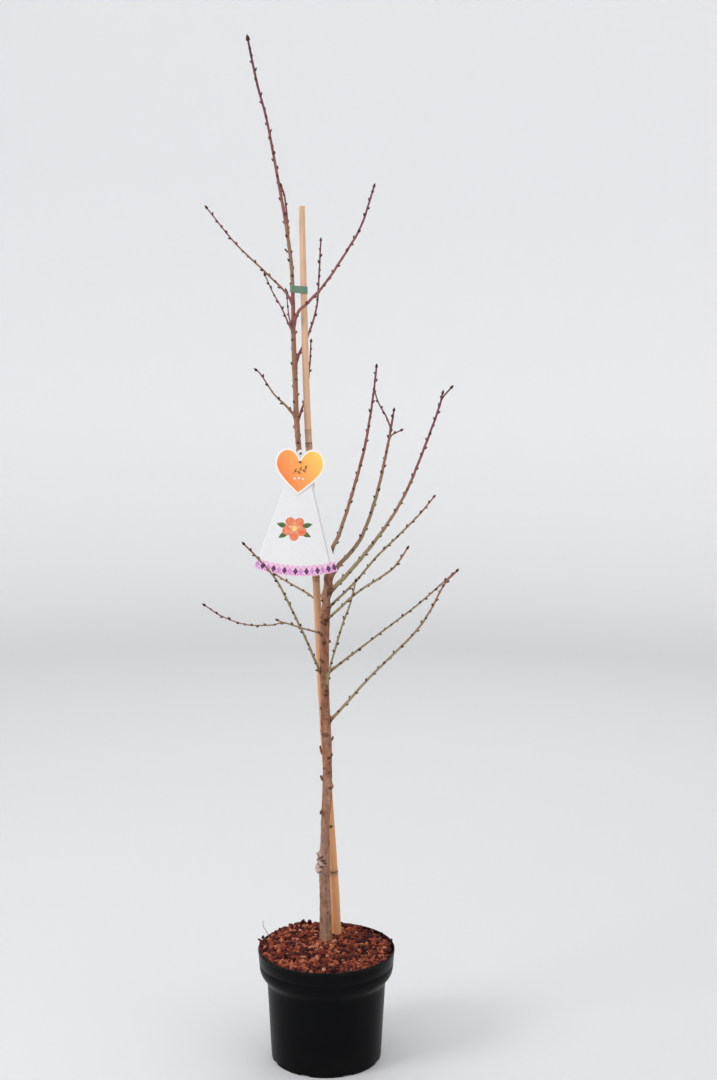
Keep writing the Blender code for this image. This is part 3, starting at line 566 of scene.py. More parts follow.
def make_stem(route, sides):
    """A stem as a grid: its line, the ways out of it, and the values that its bark reads."""
    tangents, side, across = frames_along(route[:, :3])
    angles = 2 * math.pi * np.arange(sides) / sides
    shape = (len(route), sides)
    return {"line": route[:, :3].copy(), "radius": route[:, 3] / 2, "run": run_of(route),
            "tangents": tangents, "side": side, "across": across, "angles": angles,
            "out": ways_round(side, across, angles),
            "skin": np.repeat(route[:, 3:4] / 2, sides, axis=1),
            **{key: np.zeros(shape) for key in BARK_VALUES}}


def skin_points(stem):
    return stem["line"][:, None, :] + stem["out"] * stem["skin"][:, :, None]


def clearance(points, stem):
    """How far points are from a stem, measured from its plain radius. Inside it is 0."""
    gaps = np.linalg.norm(points[:, None, :] - stem["line"][None, :, :], axis=2)
    return np.maximum((gaps - stem["radius"][None, :]).min(axis=1), 0)


def swell_where_near(stem, other, reach, rings):
    """Lift a stem's skin where it nears another stem, so that the two run together."""
    clear = clearance(skin_points(stem)[rings].reshape(-1, 3), other)
    nearness = np.clip(1 - clear / reach, 0, 1)
    shape = stem["skin"][rings].shape
    stem["skin"][rings] += (nearness ** 2 * reach / 4).reshape(shape)
    # Painted shade: the crease where the two stems meet is darkened, as a scar is.
    crease_shade = np.clip(1 - clear / (0.45 * reach), 0, 1).reshape(shape)
    stem["scar_and_shade"][rings] = np.maximum(stem["scar_and_shade"][rings], 0.60 * crease_shade)


def noise_grid(stem, scale, length_scale, seed):
    """Noise at each point of a stem's skin, drawn out along the stem."""
    points = skin_points(stem) * (scale, scale, length_scale) + (seed, 0, 0)
    flat = [noise.noise(Vector(point)) for point in points.reshape(-1, 3)]
    return np.array(flat).reshape(points.shape[:2])


def roughen(stem, scale, length_scale, amount, seed):
    """Uneven growth, as a share of the stem's radius."""
    stem["skin"] += stem["radius"][:, None] * amount * noise_grid(stem, scale, length_scale,
                                                                  seed)


def give_value(mesh, key, values):
    """Keep one number for each point of a mesh, for its finish to read."""
    own = mesh.attributes.new(key, "FLOAT", "POINT")
    own.data.foreach_set("value", np.array(values, np.float32))


def skinned(name, stems, finish):
    """One closed mesh from stems, with its wrap as a UV map and its bark values."""
    vertices = []
    faces = []
    wraps = []
    values = {key: [] for key in BARK_VALUES}
    for stem in stems:
        points = skin_points(stem)
        rings, sides = points.shape[:2]
        first = len(vertices)
        girth = 2 * math.pi * float(stem["radius"].mean())
        run = stem["run"]
        vertices.extend(points.reshape(-1, 3))
        vertices.append(stem["line"][0])
        vertices.append(stem["line"][-1] + stem["tangents"][-1] * stem["radius"][-1] * 0.7)
        for key, kept in values.items():
            grid = stem[key]
            kept.extend(grid.reshape(-1))
            kept.extend([grid[0].mean(), grid[-1].mean()])
        foot = first + rings * sides
        for k in range(sides):
            after = (k + 1) % sides
            low, high = k / sides * girth, (k + 1) / sides * girth
            faces.append((foot, first + after, first + k))
            wraps += [(low, run[0]), (high, run[0]), (low, run[0])]
            for ring in range(rings - 1):
                a = first + ring * sides
                faces.append((a + k, a + after, a + sides + after, a + sides + k))
                wraps += [(low, run[ring]), (high, run[ring]),
                          (high, run[ring + 1]), (low, run[ring + 1])]
            last = first + (rings - 1) * sides
            faces.append((last + k, last + after, foot + 1))
            wraps += [(low, run[-1]), (high, run[-1]), (low, run[-1])]
    piece = make_piece(name, vertices, faces, finish)
    piece.data.uv_layers.new(name="wrap").data.foreach_set("uv", np.array(wraps).ravel())
    for key, kept in values.items():
        give_value(piece.data, key, kept)
    piece.data.shade_smooth()
    return piece


def way_out(turn_degrees):
    """The level way out of the trunk at a turn. 0 is the front and 90 the right side."""
    turn = math.radians(turn_degrees)
    return np.array([math.sin(turn), -math.cos(turn), 0.0])


def add_scar(stem, height, turn_degrees, width, stand, dimple):
    """Raise a rounded scar, with a dimple where the twig broke away, and give its place."""
    ring = int(np.argmin(abs(stem["line"][:, 2] - height)))
    facing = np.arctan2(stem["out"][:, :, 0], -stem["out"][:, :, 1])
    turned_by = (facing - math.radians(turn_degrees) + math.pi) % (2 * math.pi) - math.pi
    round_it = turned_by * stem["radius"][:, None]
    along_it = (stem["run"] - stem["run"][ring])[:, None]
    away = np.sqrt(round_it ** 2 + (along_it * 1.35) ** 2)
    lump = np.exp(-(away / (0.46 * width)) ** 2)
    hollow = np.exp(-(away / (0.20 * width)) ** 2)
    stem["skin"] += stand * (lump - dimple * hollow)
    return np.clip(1.7 * np.exp(-(away / (0.42 * width)) ** 2), 0, 1)


def spur(trunk, height, turn_degrees, width, length, lean):
    """A dead spur: a short stub that leans up from the bark and ends blunt and broken."""
    ring = int(np.argmin(abs(trunk["line"][:, 2] - height)))
    out = way_out(turn_degrees)
    rise = math.sin(math.radians(lean))
    along = out * math.cos(math.radians(lean)) + np.array([0.0, 0.0, rise])
    skin = trunk["line"][ring] + out * trunk["radius"][ring]
    route = [(*(skin - out * 0.003), width * 1.25), (*(skin + out * 0.0008), width * 1.15),
             (*(skin + out * 0.0010 + along * length * 0.55), width),
             (*(skin + out * 0.0004 + along * length), width * 0.72)]
    stem = make_stem(smooth_route(route, 0.0007), 14)
    stem["wood"] += 1.0
    stem["scar_and_shade"] += np.linspace(0.15, 0.95, len(stem["run"]))[:, None] ** 2
    roughen(stem, 700, 420, 0.34, height * 90)
    return stem


def bark_finish():
    finish, tree, shader = new_finish("nectarine_bark", BARK_PLAIN, 0.7, 0.22)
    place = object_place(tree)
    wrap = add_node(tree, "ShaderNodeUVMap", uv_map="wrap").outputs[0]
    wood, blush, scar_and_shade, callus = [own_value(tree, key) for key in BARK_VALUES]
    patches, grain = worn_grain(tree, stretched(tree, place, (1.0, 1.0, 0.45)), 95.0, 620.0)
    broad, cracks = worn_grain(tree, stretched(tree, place, (1.0, 1.0, 0.16)), 38.0, 330.0)
    tone = sums(tree, "ADD", sums(tree, "MULTIPLY", patches, 0.55),
                sums(tree, "MULTIPLY", broad, 0.45))
    lower = spread(tree, height_of(tree, place), 0.34, 0.62, 1.0, 0.0)
    old = mix_colour(tree, lower, ramp(tree, tone, BARK_OLD), ramp(tree, tone, BARK_FOOT))
    # Long lilac-grey weathered streaks, and fine wrinkles that lie round the stem.
    weather = worn_grain(tree, stretched(tree, place, (1.0, 1.0, 0.10)), 130.0, 200.0)[0]
    old = mix_colour(tree, spread(tree, weather, 0.52, 1.0, 0.0, 0.62), old, BARK_WEATHERED)
    rings = add_node(tree, "ShaderNodeTexNoise",
                     {"Vector": stretched(tree, place, (0.12, 0.12, 1.0)), "Scale": 560.0,
                      "Detail": 3.0}).outputs["Fac"]
    old = mix_colour(tree, spread(tree, rings, 0.50, 0.66, 0.0, 0.34), old, BARK_WRINKLE)
    # Fine cracks and short pale lenticels that lie across the stem.
    dashes = add_node(tree, "ShaderNodeTexVoronoi",
                      {"Vector": stretched(tree, wrap, (160.0, 520.0, 1.0)), "Scale": 1.0},
                      feature="F1").outputs["Distance"]
    lenticel = spread(tree, dashes, 0.10, 0.26, 0.55, 0.0)
    old = mix_colour(tree, spread(tree, cracks, 0.0, 0.46, 0.72, 0.0), old, BARK_CRACK)
    old = mix_colour(tree, lenticel, old, BARK_LENTICEL)
    uneven_blush = sums(tree, "ADD", blush, spread(tree, patches, 0.0, 1.0, -0.09, 0.09))
    young = ramp(tree, uneven_blush, BARK_YOUNG)
    young = mix_colour(tree, spread(tree, grain, 0.0, 0.4, 0.28, 0.0), young, BARK_PORE)
    colour = mix_colour(tree, wood, young, old)
    flakes = add_node(tree, "ShaderNodeTexNoise",
                      {"Vector": place, "Scale": 260.0, "Detail": 4.0}).outputs["Fac"]
    flaked = sums(tree, "MULTIPLY", callus, spread(tree, flakes, 0.40, 0.52, 0.35, 1.0))
    colour = mix_colour(tree, flaked, colour, BARK_CALLUS)
    # Dark scars, and the painted shade in creases and crotches, take the scar colour.
    ragged = sums(tree, "ADD", scar_and_shade, spread(tree, flakes, 0.3, 0.7, -0.30, 0.20))
    scarred_and_shaded = sums(tree, "MULTIPLY", spread(tree, ragged, 0.10, 0.95), 0.94)
    colour = mix_colour(tree, scarred_and_shaded, colour, BARK_SCAR_AND_SHADE)
    paint(tree, shader, colour, spread(tree, wood, 0.0, 1.0, 0.48, 0.78))
    relief = sums(tree, "ADD", sums(tree, "MULTIPLY", cracks, 0.7), grain)
    relief = sums(tree, "ADD", relief, sums(tree, "MULTIPLY", lenticel, 0.8))
    relief = sums(tree, "SUBTRACT", relief, sums(tree, "MULTIPLY", rings, wood))
    bumped(tree, shader, relief, 0.55, 0.0006)
    return finish


bark = bark_finish()
trunk = make_stem(smooth_route(np.array(TRUNK, float) * MM, TRUNK_RING), TRUNK_SIDES)
trunk_heights = trunk["line"][:, 2]
trunk["wood"] += np.interp(trunk_heights, *TRUNK_WOOD)[:, None]
trunk["blush"] += np.interp(trunk_heights, *TRUNK_BLUSH)[:, None]
roughen(trunk, 70, 16, 0.08, 3.0)
roughen(trunk, 300, 110, 0.07, 9.0)
for height, turn_degrees, width, stand, dark in TRUNK_KNOBS:
    mark = add_scar(trunk, height * MM, turn_degrees, width * MM, stand * MM, 0.30)
    trunk["scar_and_shade"] = np.maximum(trunk["scar_and_shade"], dark * mark)
for height, turn_degrees, width in GREEN_BARK:
    mark = add_scar(trunk, height * MM, turn_degrees, width * MM, 0.0, 0.0)
    trunk["wood"] *= 1 - 0.8 * mark
    trunk["blush"] *= 1 - mark
spurs = []
for height, turn_degrees, width, length, lean in TRUNK_SPURS:
    spurs.append(spur(trunk, height * MM, turn_degrees, width * MM, length * MM, lean))
    mark = add_scar(trunk, height * MM, turn_degrees, width * 1.6 * MM, 0.8 * MM, 0.0)
    trunk["scar_and_shade"] = np.maximum(trunk["scar_and_shade"], 0.5 * mark)
for height, turn_degrees, width, stand, pale in GRAFT_LUMPS:
    mark = add_scar(trunk, height * MM, turn_degrees, width * MM, stand * 0.8 * MM, 0.1)
    trunk["callus"] = np.clip(trunk["callus"] + pale * mark, 0, 1)
for height, turn_degrees, width in GRAFT_CRACKS:
    mark = add_scar(trunk, height * MM, turn_degrees, width * MM, -0.8 * MM, 0.0)
    trunk["scar_and_shade"] = np.maximum(trunk["scar_and_shade"], 0.95 * mark)
trunk["skin"] += GRAFT_ROUGH * trunk["callus"] * noise_grid(trunk, 420, 420, 21.0)


# Limbs and shoots: last summer's growth, all one with the trunk. Each leaves it at a
# swollen collar, bends a little at every bud, and runs from olive through red to purple.
LIMB_SIDES = 14
LIMB_RING = 2.4 * MM
LIMBS = {
    "low_right": [(-1, 14, 618, 7.5), (28, 2, 651, 5), (78, -18, 712, 4.3), (153, -46, 794, 4.0),
                  (183, -58, 840, 3.6), (205, -68, 885, 3.2), (227, -74, 911, 2.9)],
    "front_rising": [(-1, 8, 675, 6.4), (2, -2, 696, 5.0), (6.5, -15, 728, 4.0),
                     (20, -42, 781, 3.7), (31, -62, 820, 3.4), (42, -78, 852, 3.2),
                     (52, -96, 896, 2.9)],
    "low_left": [(-5, 13, 707, 6.4), (-15, 3, 724, 4.8), (-35, -34, 781, 4.1),
                 (-62, -68, 847, 3.8), (-86, -94, 899, 3.5), (-119, -122, 943, 3.1),
                 (-137, -134, 964, 2.8)],
    "back_right": [(-1, 12, 711, 7), (26, 30, 728, 4.5), (97, 78, 774, 3.5),
                   (164, 118, 818, 3.1), (210, 142, 854, 2.9), (234, 152, 874, 2.6)],
    "left_level": [(-3, 12, 780, 6), (-16, -1, 789, 3.8), (-43, -15, 799, 2.9),
                   (-75, -34, 812, 2.8), (-96, -46, 810, 2.6), (-138, -66, 814, 2.3),
                   (-178, -84, 831, 2.2), (-208, -96, 853, 2)],
    "left_level_spur": [(-75, -34, 812, 3.4), (-81, -32, 814, 2.4), (-86, -30, 816, 2.2)],
    "right_short": [(-2, 8, 810, 6), (14, -6, 825, 4.8), (54, -34, 866, 4.2),
                    (102, -62, 902, 3.8), (122, -72, 921, 3.6), (141, -80, 951, 3.2)],
    "back_long": [(0, 11, 826, 7), (13, 26, 839, 4.8), (52, 64, 872, 4.2), (88, 96, 911, 3.9),
                  (132, 128, 950, 3.6), (172, 152, 988, 3.3), (198, 166, 1018, 2.9)],
    "behind_cane": [(0, 12, 827, 6), (3, 34, 832, 4.8), (-5, 56, 836, 4.1), (-24, 70, 840, 4),
                    (-41, 84, 849, 3.8), (-75, 116, 863, 3.4), (-102, 140, 876, 3.2),
                    (-125, 158, 893, 2.9)],
    "right_long": [(1, 9, 859, 11), (13, -4, 870, 8.3), (52, -40, 917, 6.8),
                   (101, -85, 986, 5.6), (135, -112, 1047, 4.8), (161, -135, 1113, 4.2),
                   (187, -152, 1187, 3.6), (195, -158, 1219, 2.9)],
    "right_long_fork": [(189, -154, 1196, 3.6), (196, -150, 1212, 2.7), (210, -146, 1228, 2.6)],
    "right_back": [(3, 10, 884, 10), (23, 28, 908, 7.8), (54, 55, 941, 6.9), (74, 75, 981, 6.3),
                   (93, 95, 1041, 5.8), (108, 110, 1109, 5), (115, 118, 1145, 4.4),
                   (121, 124, 1181, 3.3)],
    "right_back_low_spur": [(113, 114, 1131, 3.6), (119, 106, 1138, 2.9), (134, 96, 1146, 2.5)],
    "right_back_high_spur": [(115, 118, 1149, 3.6), (107, 128, 1169, 3), (92, 140, 1196, 2.7),
                             (86, 146, 1215, 2.5)],
    "right_front": [(3, 9, 905, 10), (9, 2, 937, 7.6), (21, -12, 964, 6.7),
                    (43, -45, 1034, 5.8), (65, -75, 1117, 4.9), (75, -90, 1173, 4.1),
                    (82, -100, 1223, 3.6), (86, -105, 1262, 3.1)],
    "upper_left": [(-55, 24, 1172, 6), (-70, 12, 1190, 4.2), (-93, -4, 1214, 2.9),
                   (-114, -18, 1247, 2.6), (-122, -22, 1255, 2.2)],
    "upper_back": [(-54, 24, 1156, 5.5), (-47, 42, 1180, 4.4), (-37, 58, 1214, 3.4),
                   (-32, 72, 1264, 3.1), (-30, 84, 1306, 2.6)],
    "upper_back_long": [(-57, 25, 1258, 6), (-50, 46, 1283, 4.7), (-34, 62, 1318, 3.9),
                        (-20, 78, 1366, 3.5), (-16, 92, 1421, 3.2), (-13, 105, 1487, 2.8)],
    "upper_short_left": [(-59, 26, 1320, 5), (-68, 18, 1337, 3.4), (-79, 5, 1363, 2.5),
                         (-93, -10, 1388, 2.2), (-106, -25, 1418, 2)],
    "upper_thin": [(-60, 26, 1322, 3.4), (-68, 42, 1350, 2.4), (-71, 52, 1375, 2),
                   (-74, 60, 1395, 1.9)],
    "upper_right": [(-60, 27, 1336, 7), (-48, 12, 1359, 5.5), (-35, 0, 1370, 5.1),
                    (-3, -25, 1403, 4.5), (32, -45, 1453, 4.1), (60, -60, 1500, 3.7),
                    (81, -75, 1563, 3.1)],
    "top_left": [(-61, 26, 1372, 5.4), (-74, 19, 1392, 3.9), (-113, -5, 1430, 3.2),
                 (-158, -30, 1473, 2.7), (-203, -50, 1529, 2.2)],
    "top_twin": [(-68, 24, 1493, 4.2), (-70, 12, 1524, 3.5), (-73, 4, 1553, 3.2),
                 (-79, 0, 1572, 3)],
}
# Shoots that leave another limb, and not the trunk.
LIMB_PARENTS = {"left_level_spur": "left_level", "right_long_fork": "right_long",
                "right_back_low_spur": "right_back", "right_back_high_spur": "right_back"}
# How red each shoot is, in even steps from its root to its tip (0 olive, 1 purple).
LIMB_BLUSH = {
    "low_right": (0.05, 0.00, 0.03, 0.14, 0.50), "front_rising": (0.02, 0.00, 0.02, 0.14),
    "low_left": (0.22, 0.14, 0.08, 0.10, 0.50), "back_right": (0.10, 0.05, 0.08, 0.14, 0.50),
    "left_level": (0.26, 0.12, 0.18, 0.30, 0.60), "left_level_spur": (0.30, 0.60),
    "right_short": (0.05, 0.00, 0.04, 0.36), "back_long": (0.08, 0.02, 0.06, 0.36),
    "behind_cane": (0.12, 0.06, 0.10, 0.50), "right_long": (0.10, 0.00, 0.26, 0.58, 0.80),
    "right_long_fork": (0.80, 0.95), "right_back": (0.26, 0.18, 0.14, 0.30, 0.78),
    "right_back_low_spur": (0.30, 0.60), "right_back_high_spur": (0.66, 0.80),
    "right_front": (0.16, 0.20, 0.34, 0.48, 0.60, 0.78), "upper_left": (0.42, 0.28, 0.30, 0.80),
    "upper_back": (0.66, 0.70, 0.85), "upper_back_long": (0.58, 0.64, 0.70, 0.86),
    "upper_short_left": (0.64, 0.62, 0.70, 0.86), "upper_thin": (0.50, 0.60, 0.80),
    "upper_right": (0.40, 0.52, 0.58, 0.64, 0.82), "top_left": (0.44, 0.34, 0.46, 0.74),
    "top_twin": (0.62, 0.70, 0.84),
}
# How far a limb runs into its parent at a collar, in widths of its root, how many of its
# rings and how much of the parent can swell there, how the parent's bark fades out, and how
# far the painted shade in the crotch reaches on limbs that leave the trunk below OLD_WOOD_TOP.
LIMB_BLEND = 0.86
COLLAR_RINGS = 14
COLLAR_REACH = 0.035
COLLAR_FADE = 2.2
CROTCH_SHADE_FADE = 2.0
OLD_WOOD_TOP = 0.96
# The side that the sun reddens, and by how much.
SUN_SIDE = np.array([-0.62, -0.35, 0.70])
SUN_BLUSH = 0.13
BUD_START = 0.016
BUD_SPACING = (0.0145, 0.0205)
BUD_TILT = math.radians(36)
# How often a bud has a twin, and how far round the twin sits in radians.
TWIN_SHARE = 0.30
TWIN_TURN = 0.62


def bud_places(run, start, draw):
    """Distances and turns of the buds along a shoot, closer together near its tip."""
    places = []
    place = start
    turn = draw.uniform(0, 2 * math.pi)
    while place < run[-1] - 0.006:
        places.append((place, turn))
        place += draw.uniform(*BUD_SPACING) * (1.0 - 0.30 * place / run[-1])
        turn += GOLDEN_ANGLE
    return places


def bud_spot(stem, place):
    """The number of the stem's ring just before a bud."""
    return int(np.searchsorted(stem["run"], place)) - 1


def way_round(stem, ring, turn):
    """The way out of a stem's ring at a turn in radians."""
    return stem["side"][ring] * math.cos(turn) + stem["across"][ring] * math.sin(turn)


def bend_at_buds(stem, places):
    """Push the line a little away from every bud, so that the shoot runs in a zigzag."""
    stops = [0.0]
    pushes = [np.zeros(3)]
    for place, turn in places:
        ring = bud_spot(stem, place)
        stops.append(place)
        pushes.append(-way_round(stem, ring, turn) * 0.16 * stem["radius"][ring])
    stops.append(stem["run"][-1])
    pushes.append(np.zeros(3))
    pushes = np.array(pushes)
    for axis in range(3):
        stem["line"][:, axis] += np.interp(stem["run"], stops, pushes[:, axis])


def swell_at_buds(stem, places):
    """Raise the cushion that each bud and its leaf scar sit on."""
    for place, turn in places:
        along = np.exp(-((stem["run"] - place + 0.0006) / 0.0021) ** 2)[:, None]
        facing = 0.5 + 0.5 * np.cos(stem["angles"] - turn)[None, :]
        stem["skin"] += stem["radius"][:, None] * along * (0.05 + 0.30 * facing ** 3)
        stem["scar_and_shade"] = np.maximum(stem["scar_and_shade"], 0.40 * along * facing ** 6)


def buds_on(stem, places, draw, plump):
    """Each bud as its seat, the way it points, the way its shoot grows, and its size."""
    buds = []
    for place, turn in places:
        ring = bud_spot(stem, place)
        grows = stem["tangents"][ring]
        twins = [0.0]
        if draw.random() < TWIN_SHARE:
            twins.append(draw.choice((-TWIN_TURN, TWIN_TURN)))
        for shift in twins:
            out = way_round(stem, ring, turn + shift)
            tilt = BUD_TILT + draw.uniform(-0.12, 0.16)
            points = out * math.sin(tilt) + grows * math.cos(tilt)
            size = plump * draw.uniform(0.84, 1.14) * (0.78 if shift else 1.0)
            seat = stem["line"][ring] + out * stem["radius"][ring] * 0.98
            buds.append((seat, points, grows, size))
    return buds


def tip_bud(stem, size):
    """The bud that ends a shoot, set on its tip and in line with it."""
    return (stem["line"][-1] - stem["tangents"][-1] * 0.0002, stem["tangents"][-1],
            stem["side"][-1], size)


draw = random.Random(29)
stems = {}
buds = []
for limb_name, knots in LIMBS.items():
    parent = stems.get(LIMB_PARENTS.get(limb_name), trunk)
    limb = make_stem(smooth_route(np.array(knots, float) * MM, LIMB_RING), LIMB_SIDES)
    shares = limb["run"] / limb["run"][-1]
    steps = LIMB_BLUSH[limb_name]
    limb["blush"] += np.interp(shares, np.linspace(0, 1, len(steps)), steps)[:, None]
    limb["blush"] += SUN_BLUSH * (limb["out"] @ SUN_SIDE)
    foot = int(np.argmin(np.linalg.norm(parent["line"] - limb["line"][0], axis=1)))
    clear = clearance(limb["line"], parent)
    parent_share = np.exp(-(clear / (COLLAR_FADE * limb["radius"][0])) ** 2)[:, None]
    crotch_shade = np.exp(-(clear / (CROTCH_SHADE_FADE * limb["radius"][0])) ** 2)[:, None]
    # Painted shade: the crotch of a low limb is darkened, most on its underside.
    if parent is trunk and limb["line"][0, 2] < OLD_WOOD_TOP:
        under = 0.5 - 0.5 * limb["out"][:, :, 2]
        limb["scar_and_shade"] = np.maximum(limb["scar_and_shade"], crotch_shade * (0.55 + 0.45 * under))
    limb["wood"] += parent["wood"][foot].mean() * parent_share
    limb["blush"] += (parent["blush"][foot].mean() - limb["blush"]) * parent_share
    places = bud_places(limb["run"], BUD_START + parent["radius"].max() * 0.35, draw)
    bend_at_buds(limb, places)
    swell_at_buds(limb, places)
    roughen(limb, 330, 120, 0.09, 5.0 + len(stems))
    near = slice(0, COLLAR_RINGS)
    blend = LIMB_BLEND * 2 * limb["radius"][0] * (1.0 if parent is trunk else 0.6)
    swell_where_near(limb, parent, blend, near)
    root = {"line": limb["line"][near], "radius": limb["radius"][near]}
    beside = abs(parent["line"] - limb["line"][0]).max(axis=1) < COLLAR_REACH
    swell_where_near(parent, root, blend, np.flatnonzero(beside))
    buds += buds_on(limb, places, draw, 1.0)
    buds.append(tip_bud(limb, 1.25))
    stems[limb_name] = limb
leader_start = float(np.interp(1.00, trunk_heights, trunk["run"]))
leader_places = bud_places(trunk["run"], leader_start, draw)
swell_at_buds(trunk, leader_places)
buds += buds_on(trunk, leader_places, draw, 1.05)
buds.append(tip_bud(trunk, 1.9))

tree_trunk = skinned("tree_trunk", [trunk] + spurs, bark)
hand_over(tree_trunk, "tree")
tree_limbs = skinned("tree_limbs", list(stems.values()), bark)
hand_over(tree_limbs, "tree")


# Buds: one winter bud at each joint of a shoot, a pointed cone of overlapping brown
# scales on a small ledge where last summer's leaf stalk sat. Some joints carry two.
BUD_LENGTH = 4.9 * MM
BUD_SIDES = 8
# A bud's outline as (height, radius), in shares of its length. It starts inside the bark.
BUD_OUTLINE = [(-0.20, 0.30), (0.00, 0.40), (0.16, 0.34), (0.20, 0.31), (0.42, 0.30),
               (0.62, 0.22), (0.82, 0.11)]
BUD_DARK = (0.036, 0.017, 0.014)
BUD_BROWN = (0.120, 0.050, 0.032)
BUD_TIP = (0.190, 0.145, 0.125)


def closed_faces(rings, sides):
    """Faces for points that run from a foot, ring by ring, up to a top."""
    faces = []
    top = 1 + rings * sides
    for k in range(sides):
        after = (k + 1) % sides
        faces.append((0, 1 + after, 1 + k))
        faces.append((top - sides + k, top - sides + after, top))
        for a in range(1, top - sides, sides):
            faces.append((a + k, a + after, a + sides + after, a + sides + k))
    return faces


def bud_shape():
    """A bud of length 1 along Z, its scales turned half a step from ring to ring."""
    vertices = [(0, 0, -0.20)]
    tips = [0.0]
    for ring, (height, radius) in enumerate(BUD_OUTLINE):
        for k in range(BUD_SIDES):
            angle = 2 * math.pi * (k + 0.5 * (ring % 2)) / BUD_SIDES
            scale = radius * (1.09 if k % 2 else 0.94)
            vertices.append((scale * math.cos(angle), scale * 1.12 * math.sin(angle), height))
            tips.append(max(height, 0.0))
    vertices.append((0, 0, 1.0))
    tips.append(1.0)
    shape = make_piece("bud_shape", vertices, closed_faces(len(BUD_OUTLINE), BUD_SIDES))
    give_value(shape.data, "tip", tips)
    shape.data.shade_smooth()
    return shape


def new_growth(name, inputs):
    """A Geometry Nodes tree with a Geometry input and output and the named inputs."""
    tree = bpy.data.node_groups.new(name, "GeometryNodeTree")
    tree.interface.new_socket("Geometry", in_out="INPUT", socket_type="NodeSocketGeometry")
    for label, kind in inputs.items():
        tree.interface.new_socket(label, in_out="INPUT", socket_type="NodeSocket" + kind)
    tree.interface.new_socket("Geometry", in_out="OUTPUT", socket_type="NodeSocketGeometry")
    return tree, add_node(tree, "NodeGroupInput").outputs


def random_number(tree, low, high, seed):
    return add_node(tree, "FunctionNodeRandomValue", {2: low, 3: high, "Seed": seed},
                    data_type="FLOAT").outputs[1]


def end_growth(tree, instances, seed, ins):
    """Give each instance a random tone and its finish, and make them one real mesh."""
    toned = add_node(tree, "GeometryNodeStoreNamedAttribute",
                     {"Geometry": instances, "Name": "tone",
                      "Value": random_number(tree, 0.0, 1.0, seed)},
                     data_type="FLOAT", domain="INSTANCE")
    real = add_node(tree, "GeometryNodeRealizeInstances", {"Geometry": toned.outputs[0]})
    done = add_node(tree, "GeometryNodeSetMaterial",
                    {"Geometry": real.outputs[0], "Material": ins["Finish"]})
    add_node(tree, "NodeGroupOutput", {"Geometry": done.outputs[0]})


def grow(name, mesh, tree, sizes):
    """Run a Geometry Nodes tree on a mesh once, and keep what it makes as a plain mesh."""
    piece = bpy.data.objects.new(name, mesh)
    step = piece.modifiers.new("growth", "NODES")
    step.node_group = tree
    for item in tree.interface.items_tree:
        if item.in_out == "INPUT" and item.name in sizes:
            step[item.identifier] = sizes[item.name]
    bpy.context.scene.collection.objects.link(piece)
    keep_result(piece)
    return piece


def stored(tree, name, kind):
    """What was kept at each point of the mesh that a growth starts from."""
    return add_node(tree, "GeometryNodeInputNamedAttribute", {"Name": name},
                    data_type=kind).outputs["Attribute"]


def bud_growth():
    """Sets a bud on every point, along its own two directions, with its own tone."""
    tree, ins = new_growth("seat_buds", {"Bud": "Object", "Length": "Float", "Seed": "Int",
                                         "Finish": "Material"})
    shape = add_node(tree, "GeometryNodeObjectInfo", {"Object": ins["Bud"]})
    aimed = add_node(tree, "FunctionNodeAlignRotationToVector",
                     {"Vector": stored(tree, "points_to", "FLOAT_VECTOR")}, axis="Z")
    rolled = add_node(tree, "FunctionNodeAlignRotationToVector",
                      {"Rotation": aimed.outputs[0],
                       "Vector": stored(tree, "grows_to", "FLOAT_VECTOR")},
                      axis="X", pivot_axis="Z")
    size = sums(tree, "MULTIPLY", stored(tree, "plump", "FLOAT"), ins["Length"])
    seated = add_node(tree, "GeometryNodeInstanceOnPoints",
                      {"Points": ins["Geometry"], "Instance": shape.outputs["Geometry"],
                       "Rotation": rolled.outputs[0], "Scale": size})
    end_growth(tree, seated.outputs[0], ins["Seed"], ins)
    return tree


def bud_finish():
    finish, tree, shader = new_finish("bud_scales", BUD_BROWN, 0.62, 0.2)
    patches, grain = worn_grain(tree, object_place(tree), 500.0, 2200.0)
    colour = mix_colour(tree, own_value(tree, "tone"), BUD_DARK, BUD_BROWN)
    tip = spread(tree, own_value(tree, "tip"), 0.45, 1.0, 0.0, 0.55)
    furred = sums(tree, "MULTIPLY", tip, spread(tree, grain, 0.2, 0.8, 0.5, 1.0))
    colour = mix_colour(tree, furred, colour, BUD_TIP)
    colour = mix_colour(tree, spread(tree, patches, 0.0, 0.5, 0.4, 0.0), colour, BUD_DARK)
    paint(tree, shader, colour)
    bumped(tree, shader, grain, 0.5, 0.0003)
    return finish


bud_seats = bpy.data.meshes.new("bud_seats")
bud_seats.from_pydata([tuple(bud[0]) for bud in buds], [], [])
for column, key in ((1, "points_to"), (2, "grows_to")):
    ways = np.array([bud[column] for bud in buds], np.float32)
    own = bud_seats.attributes.new(key, "FLOAT_VECTOR", "POINT")
    own.data.foreach_set("vector", ways.ravel())
give_value(bud_seats, "plump", [bud[3] for bud in buds])
one_bud = bud_shape()
tree_buds = grow("tree_buds", bud_seats, bud_growth(),
                 {"Bud": one_bud, "Length": BUD_LENGTH, "Seed": 5, "Finish": bud_finish()})
bpy.data.objects.remove(one_bud, do_unlink=True)
hand_over(tree_buds, "tree")


# Bark mulch: a bed of red-brown bark chips, tipped on by hand and pressed down round the
# stem. It is banked up behind on the left and lies over the rim in places.
MULCH_LEVEL = 200.5 * MM
MULCH_BOTTOM = 176.4 * MM
MULCH_EDGE = pot_inside_radius(0.190) - 0.6 * MM
BED_RINGS = 44
BED_SIDES = 144
# The bed lies a little below the mulch's top, and the chips are strewn just above the bed.
BED_DROP = 1.6 * MM
STREW_LIFT = 0.0012
